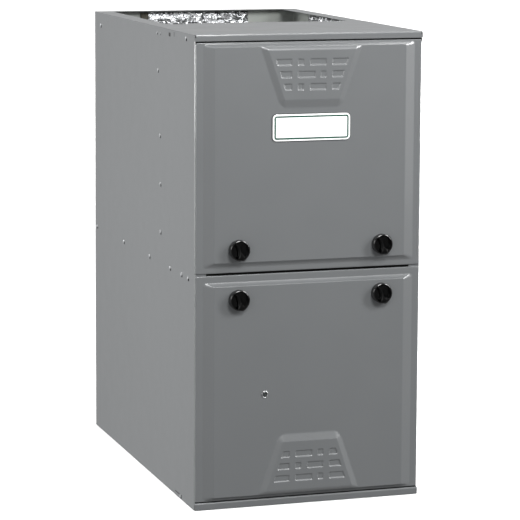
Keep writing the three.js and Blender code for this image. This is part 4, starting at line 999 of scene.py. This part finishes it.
def crumpled_foil(name, node, corner, along, out, length, height, thickness, seed):
    """Foil over glass wool: creased facets pillowing between the edges, which are pinched down."""
    facet, per_pillow, wander, flutter = 6.5, 5, 0.42, 0.22
    rng = np.random.default_rng(seed)
    columns, rows = int(length / facet), int(height / facet)
    corner, along, out, up = Vector(corner), Vector(along), Vector(out), Vector((0, 0, 1))
    broad = rng.random((rows // per_pillow + 2, columns // per_pillow + 2))
    corners, faces = [], []
    for j in range(rows + 1):
        for i in range(columns + 1):
            inner = 0 < i < columns and 0 < j < rows
            shift = rng.uniform(-wander, wander, 2) if inner else (0.0, 0.0)
            u, v = (i + shift[0]) / columns, (j + shift[1]) / rows
            pi, pj = i // per_pillow, j // per_pillow
            swell = broad[pj, pi] * 0.35 + broad[pj + 1, pi + 1] * 0.25
            hem = min(1.0, 0.25 + min(i, columns - i, j, rows - j) / 2.5)
            depth = thickness * (0.32 + swell + rng.uniform(-flutter, flutter)) * hem
            depth = max(0.4, min(depth, thickness))
            corners.append(corner + along * (u * length) + out * depth + up * (v * height))
    stride = columns + 1
    for j in range(rows):
        for i in range(columns):
            a = j * stride + i
            b, c, d = a + 1, a + stride + 1, a + stride
            faces += [(a, b, c), (a, c, d)] if rng.random() < 0.5 else [(a, b, d), (b, c, d)]
    edge = (
        list(range(stride)) + [j * stride + columns for j in range(1, rows + 1)]
        + [rows * stride + i for i in range(columns - 1, -1, -1)]
        + [j * stride for j in range(rows - 1, 0, -1)]
    )
    first = len(corners)
    corners += [corners[k] - out * (corners[k] - corner).dot(out) for k in edge]
    for k in range(len(edge)):
        n = (k + 1) % len(edge)
        faces.append((edge[k], edge[n], first + n, first + k))
    faces.append(tuple(range(first, first + len(edge))))
    skin = joined(name, [mesh_from("foil", corners, faces)])
    piece(name, skin, FOIL, replaces=node, smooth=9.0)


def make_blankets():
    """Foil on three walls over the deck, and a near-black strip beside the rear foil's left end."""
    low, high, thick = DECK_Z + 2.0, CASE_H - 4.0, 9.0
    wall = SIDE - SHEET - GAP
    back = BACK - SHEET - GAP
    for wall_name, corner, along, out, length, seed in (
        ("rear", (-106, back, low), (1, 0, 0), (0, -1, 0), 222, 3),
        ("right", (wall, 45, low), (0, 1, 0), (-1, 0, 0), 240, 5),
        ("left", (-wall, 45, low), (0, 1, 0), (1, 0, 0), 240, 7),
    ):
        crumpled_foil(
            f"{wall_name}_foil", f"{wall_name}_insulation_blanket", corner, along, out,
            length, high - low, thick, seed,
        )
    edge = soft_box_mesh("rear_dark_strip", (-123, back - 5.5, low), (-106.4, back, high), 1.6)
    piece("rear_dark_strip", edge, DARK_STRIP, smooth=40.0)


make_blankets()

# ---- fastenings on the casing

# buttons and dimples on either side, as (y, z)
SIDE_BUTTONS = (
    (336, 863), (-302, 879), (-110, 805), (-125, 680), (-127, 586), (-128, 493),
    (370, 433), (149, 433), (-48, 433), (-196, 433), (-274, 433), (-318, 433), (-270, 5),
)
BACK_BUTTONS = [(x, 863) for x in (-190, -64, 64, 190)] + [(x, 6) for x in (-190, 0, 190)]
BACK_SCREWS = [(x, 434) for x in (-200, -120, -40, 40, 120, 200)] + [(x, 250) for x in (-205, 205)]
RIGHT_SCREWS = ((-345, 600), (-345, 220), (372, 640), (372, 210))
DIMPLES = ((-104, 876.5), (-127, 876.5))
# each open slot in either side, drawn as a black box of painted shade, as (y, z, width, height)
SLOTS = ((-193, 878.5, 11.0, 7.0), (-224, 881, 1.4, 9.0), (-258, 7.5, 46.0, 1.6))
# holes in the right side, as (y, z, radius, width of the grommet)
RIGHT_HOLES = (
    (-300, 762, 22.0, 4.6), (-199, 640, 34.0, 5.4), (-300, 300, 11.0, 3.4),
    (-300, 250, 11.0, 3.4), (-170, 490, 13.0, 3.6),
)


def on_wall(mesh, side, along, z):
    """Turns a mesh made facing -Y so that it faces out of a wall, and sets it there."""
    turn, at = {
        "left": (-90, (-SIDE, along, z)), "right": (90, (SIDE, along, z)),
        "back": (180, (along, BACK, z)),
    }[side]
    return placed(mesh, Vector(at), Matrix.Rotation(math.radians(turn), 3, "Z"))


def fastened(name, meshes, material, smooth=35.0):
    """Small meshes as one piece of the cabinet."""
    piece(name, joined(name, meshes), material, smooth=smooth)


def clinch_button(reach=3.6):
    """The round button that a clinched sheet joint leaves: a low dome with a dished middle."""
    return spun("button", [
        (reach, 0.15), (reach, -0.15), (reach - 0.35, -0.62), (reach - 0.9, -0.9),
        (reach - 1.7, -0.86), (reach * 0.34, -0.5), (0.0, -0.42),
    ], 28)


def shadow_discs_beside(side, spots, reach, behind, below):
    """Small black discs behind and below buttons or dimples, painted shadow beside each, none of
    them under the casing's hem.
    """
    profile = [(reach, 0.04), (reach, -0.26), (reach * 0.7, -0.32), (0.0, -0.24)]
    return [
        on_wall(spun("shadow_disc", profile, 16), side, along - behind, max(z - below, 3.0))
        for along, z in spots
    ]


def make_buttons(side, spots):
    buttons = [on_wall(clinch_button(), side, along, z) for along, z in spots]
    fastened(f"{side}_buttons", buttons, HIGHLIGHT_PAINT)
    # black discs beside the buttons: painted shadow
    shadow_discs = shadow_discs_beside(side, spots, 2.7, 5.2, 2.8)
    fastened(f"{side}_button_shadow_discs", shadow_discs, SEAL_AND_SHADE_FOAM)


def hex_screw():
    """A hex washer head sheet screw: dished washer, six flats and a hollowed top."""
    washer = spun("washer", [(3.9, 0.1), (3.9, -0.2), (3.5, -0.34), (2.6, -0.28), (0.0, -0.28)], 24)
    turns = [math.radians(60 * k + 12) for k in range(6)]
    rings = [
        [(reach * math.cos(a), stand, reach * math.sin(a)) for a in turns]
        for reach, stand in ((2.7, -0.2), (2.7, -0.86), (2.45, -0.97), (1.5, -0.97), (0.9, -0.7))
    ]
    return joined("screw", [washer, skinned("head", rings)])


def make_screws(side, spots):
    screws = [on_wall(hex_screw(), side, along, z) for along, z in spots]
    fastened(f"{side}_screws", screws, PLATING, 30.0)


def grommet(reach, width):
    """A moulded ring pressed round a hole in the casing."""
    return spun("grommet", [
        (reach - 0.4, 1.2), (reach - 0.5, -0.3), (reach + 0.1, -0.78),
        (reach + width * 0.35, -0.95), (reach + width * 0.7, -0.8), (reach + width, -0.3),
        (reach + width, 0.1),
    ])


def make_grommets():
    rings = [on_wall(grommet(reach, width), "right", y, z) for y, z, reach, width in RIGHT_HOLES]
    fastened("hole_grommets", rings, RUBBER_AND_SHADE, 45.0)


def dimple(reach=2.2):
    """A small pressed dimple: a raised collar round a hollow."""
    return spun("dimple", [
        (reach, 0.1), (reach, -0.1), (reach - 0.5, -0.5), (reach - 1.0, -0.35),
        (reach - 1.3, 0.4), (0.0, 0.6),
    ], 20)


def make_dimples(side):
    dimples = [on_wall(dimple(), side, y, z) for y, z in DIMPLES]
    fastened(f"{side}_dimples", dimples, HIGHLIGHT_PAINT)
    # black discs beside the dimples: painted shadow
    shadow_discs = shadow_discs_beside(side, DIMPLES, 1.7, 4.0, 2.0)
    fastened(f"{side}_dimple_shadow_discs", shadow_discs, SEAL_AND_SHADE_FOAM)


def slot_shade_box(side, along, z, width, height):
    """An open slot in the sheet, drawn as a black box with a drawn edge: its dark is painted shade
    inside the slot.
    """
    low, high = (-width / 2, -0.28, -height / 2), (width / 2, 0.2, height / 2)
    return on_wall(soft_box_mesh("slot", low, high, 0.4, 2), side, along, z)


def make_slot_shades(side):
    slot_shades = [slot_shade_box(side, *slot) for slot in SLOTS]
    fastened(f"{side}_slots", slot_shades, RUBBER_AND_SHADE)


def make_lip_corner_shades():
    """A black block in the small relief at each front corner of the cover's lip: painted shadow."""
    low, high = (-1.2, -0.35, -2.4), (1.2, 0.2, 2.4)
    corner_shades = [
        placed(soft_box_mesh("corner_shade_block", low, high, 0.3, 2), Vector((x, LIP_Y, 885.6)))
        for x in (-221.7, 221.7)
    ]
    fastened("lip_corner_shades", corner_shades, RUBBER_AND_SHADE)


def make_cover_slit():
    """The lanced slit near the cover's rear left corner: a black block as painted shade inside it,
    its raised edge and two nicks, whose paler paint is painted highlight.
    """
    top = CASE_H
    slit_shade = soft_box_mesh("slit_shade_block", (-176, -53.2, top - 0.6), (-152, -51.4, top + 1.0), 0.3, 2)
    piece("slit_shade_block", slit_shade, SEAL_AND_SHADE_FOAM, smooth=40.0)
    raised = [soft_box_mesh("slit_lip", (-177, -51.6, top - 0.5), (-151, -49.4, top + 1.5), 0.7)]
    upwards = Matrix.Rotation(math.radians(-90), 3, "X")
    for x in (-179.4, -148.6):
        nick = spun("nick", [(2.6, 0.2), (2.5, -0.5), (1.8, -1.5), (0.8, -2.0), (0.0, -2.1)], 20)
        raised.append(placed(nick, Vector((x, -53.5, top)), upwards))
    fastened("slit_edge", raised, HIGHLIGHT_PAINT, 40.0)


def make_rail_bend():
    """The bend along the top front edge of the base rail."""
    steps = [math.radians(a) for a in range(0, 91, 10)]
    front, top, outer, inner = LIP_Y - 2.6, 13.8, 3.0, 2.3

    def arc(radius, angles):
        y, z = front + outer, top - outer
        return [(y - radius * math.cos(a), z + radius * math.sin(a)) for a in angles]

    section = arc(outer, steps) + arc(inner, steps[::-1]) + [(front + 1.3, 0.4), (front + 1.0, 0.2)]
    bend = skinned("rail_bend", [[(x, y, z) for y, z in section] for x in (-222.3, 222.3)])
    piece("rail_bend", bend, PAINT, smooth=50.0)


def make_gap_shade_seals():
    """Black foam tape behind the gap between the doors, under the cover's lip and on the rail; so
    nearly black that it also stands in for the shade deep in these gaps.
    """
    for name, half, near, far, low, high, radius, segments in (
        ("door_seal_gap_shade", 221.0, -362.7, -354.9, 436.5, 454.5, 1.5, 3),
        ("lip_seal_gap_shade", 222.2, -363.9, -362.8, 870.5, 876.3, 0.3, 2),
        ("rail_seal_gap_shade", 220.6, -363.1, -362.8, 13.0, 19.0, 0.12, 2),
    ):
        tape = soft_box_mesh(name, (-half, near, low), (half, far, high), radius, segments)
        piece(name, tape, SEAL_AND_SHADE_FOAM, smooth=40.0)


make_buttons("left", SIDE_BUTTONS)
make_buttons("right", SIDE_BUTTONS)
make_buttons("back", BACK_BUTTONS)
make_screws("back", BACK_SCREWS)
make_screws("right", RIGHT_SCREWS)
make_grommets()
make_dimples("left")
make_dimples("right")
make_slot_shades("left")
make_slot_shades("right")
make_lip_corner_shades()
make_cover_slit()
make_rail_bend()
make_gap_shade_seals()

# ---- floor


def lay_floor():
    """A wide floor just under the cabinet, kept out of its reflections and bounced light."""
    bm = bmesh.new()
    bmesh.ops.create_grid(bm, x_segments=1, y_segments=1, size=30.0)
    mesh = bpy.data.meshes.new("floor")
    bm.to_mesh(mesh)
    bm.free()
    floor = bpy.data.objects.new("floor", mesh)
    bpy.context.collection.objects.link(floor)
    floor.location.z = -0.0005
    mesh.materials.append(studio_floor())
    floor.visible_diffuse = False
    floor.visible_glossy = False


lay_floor()
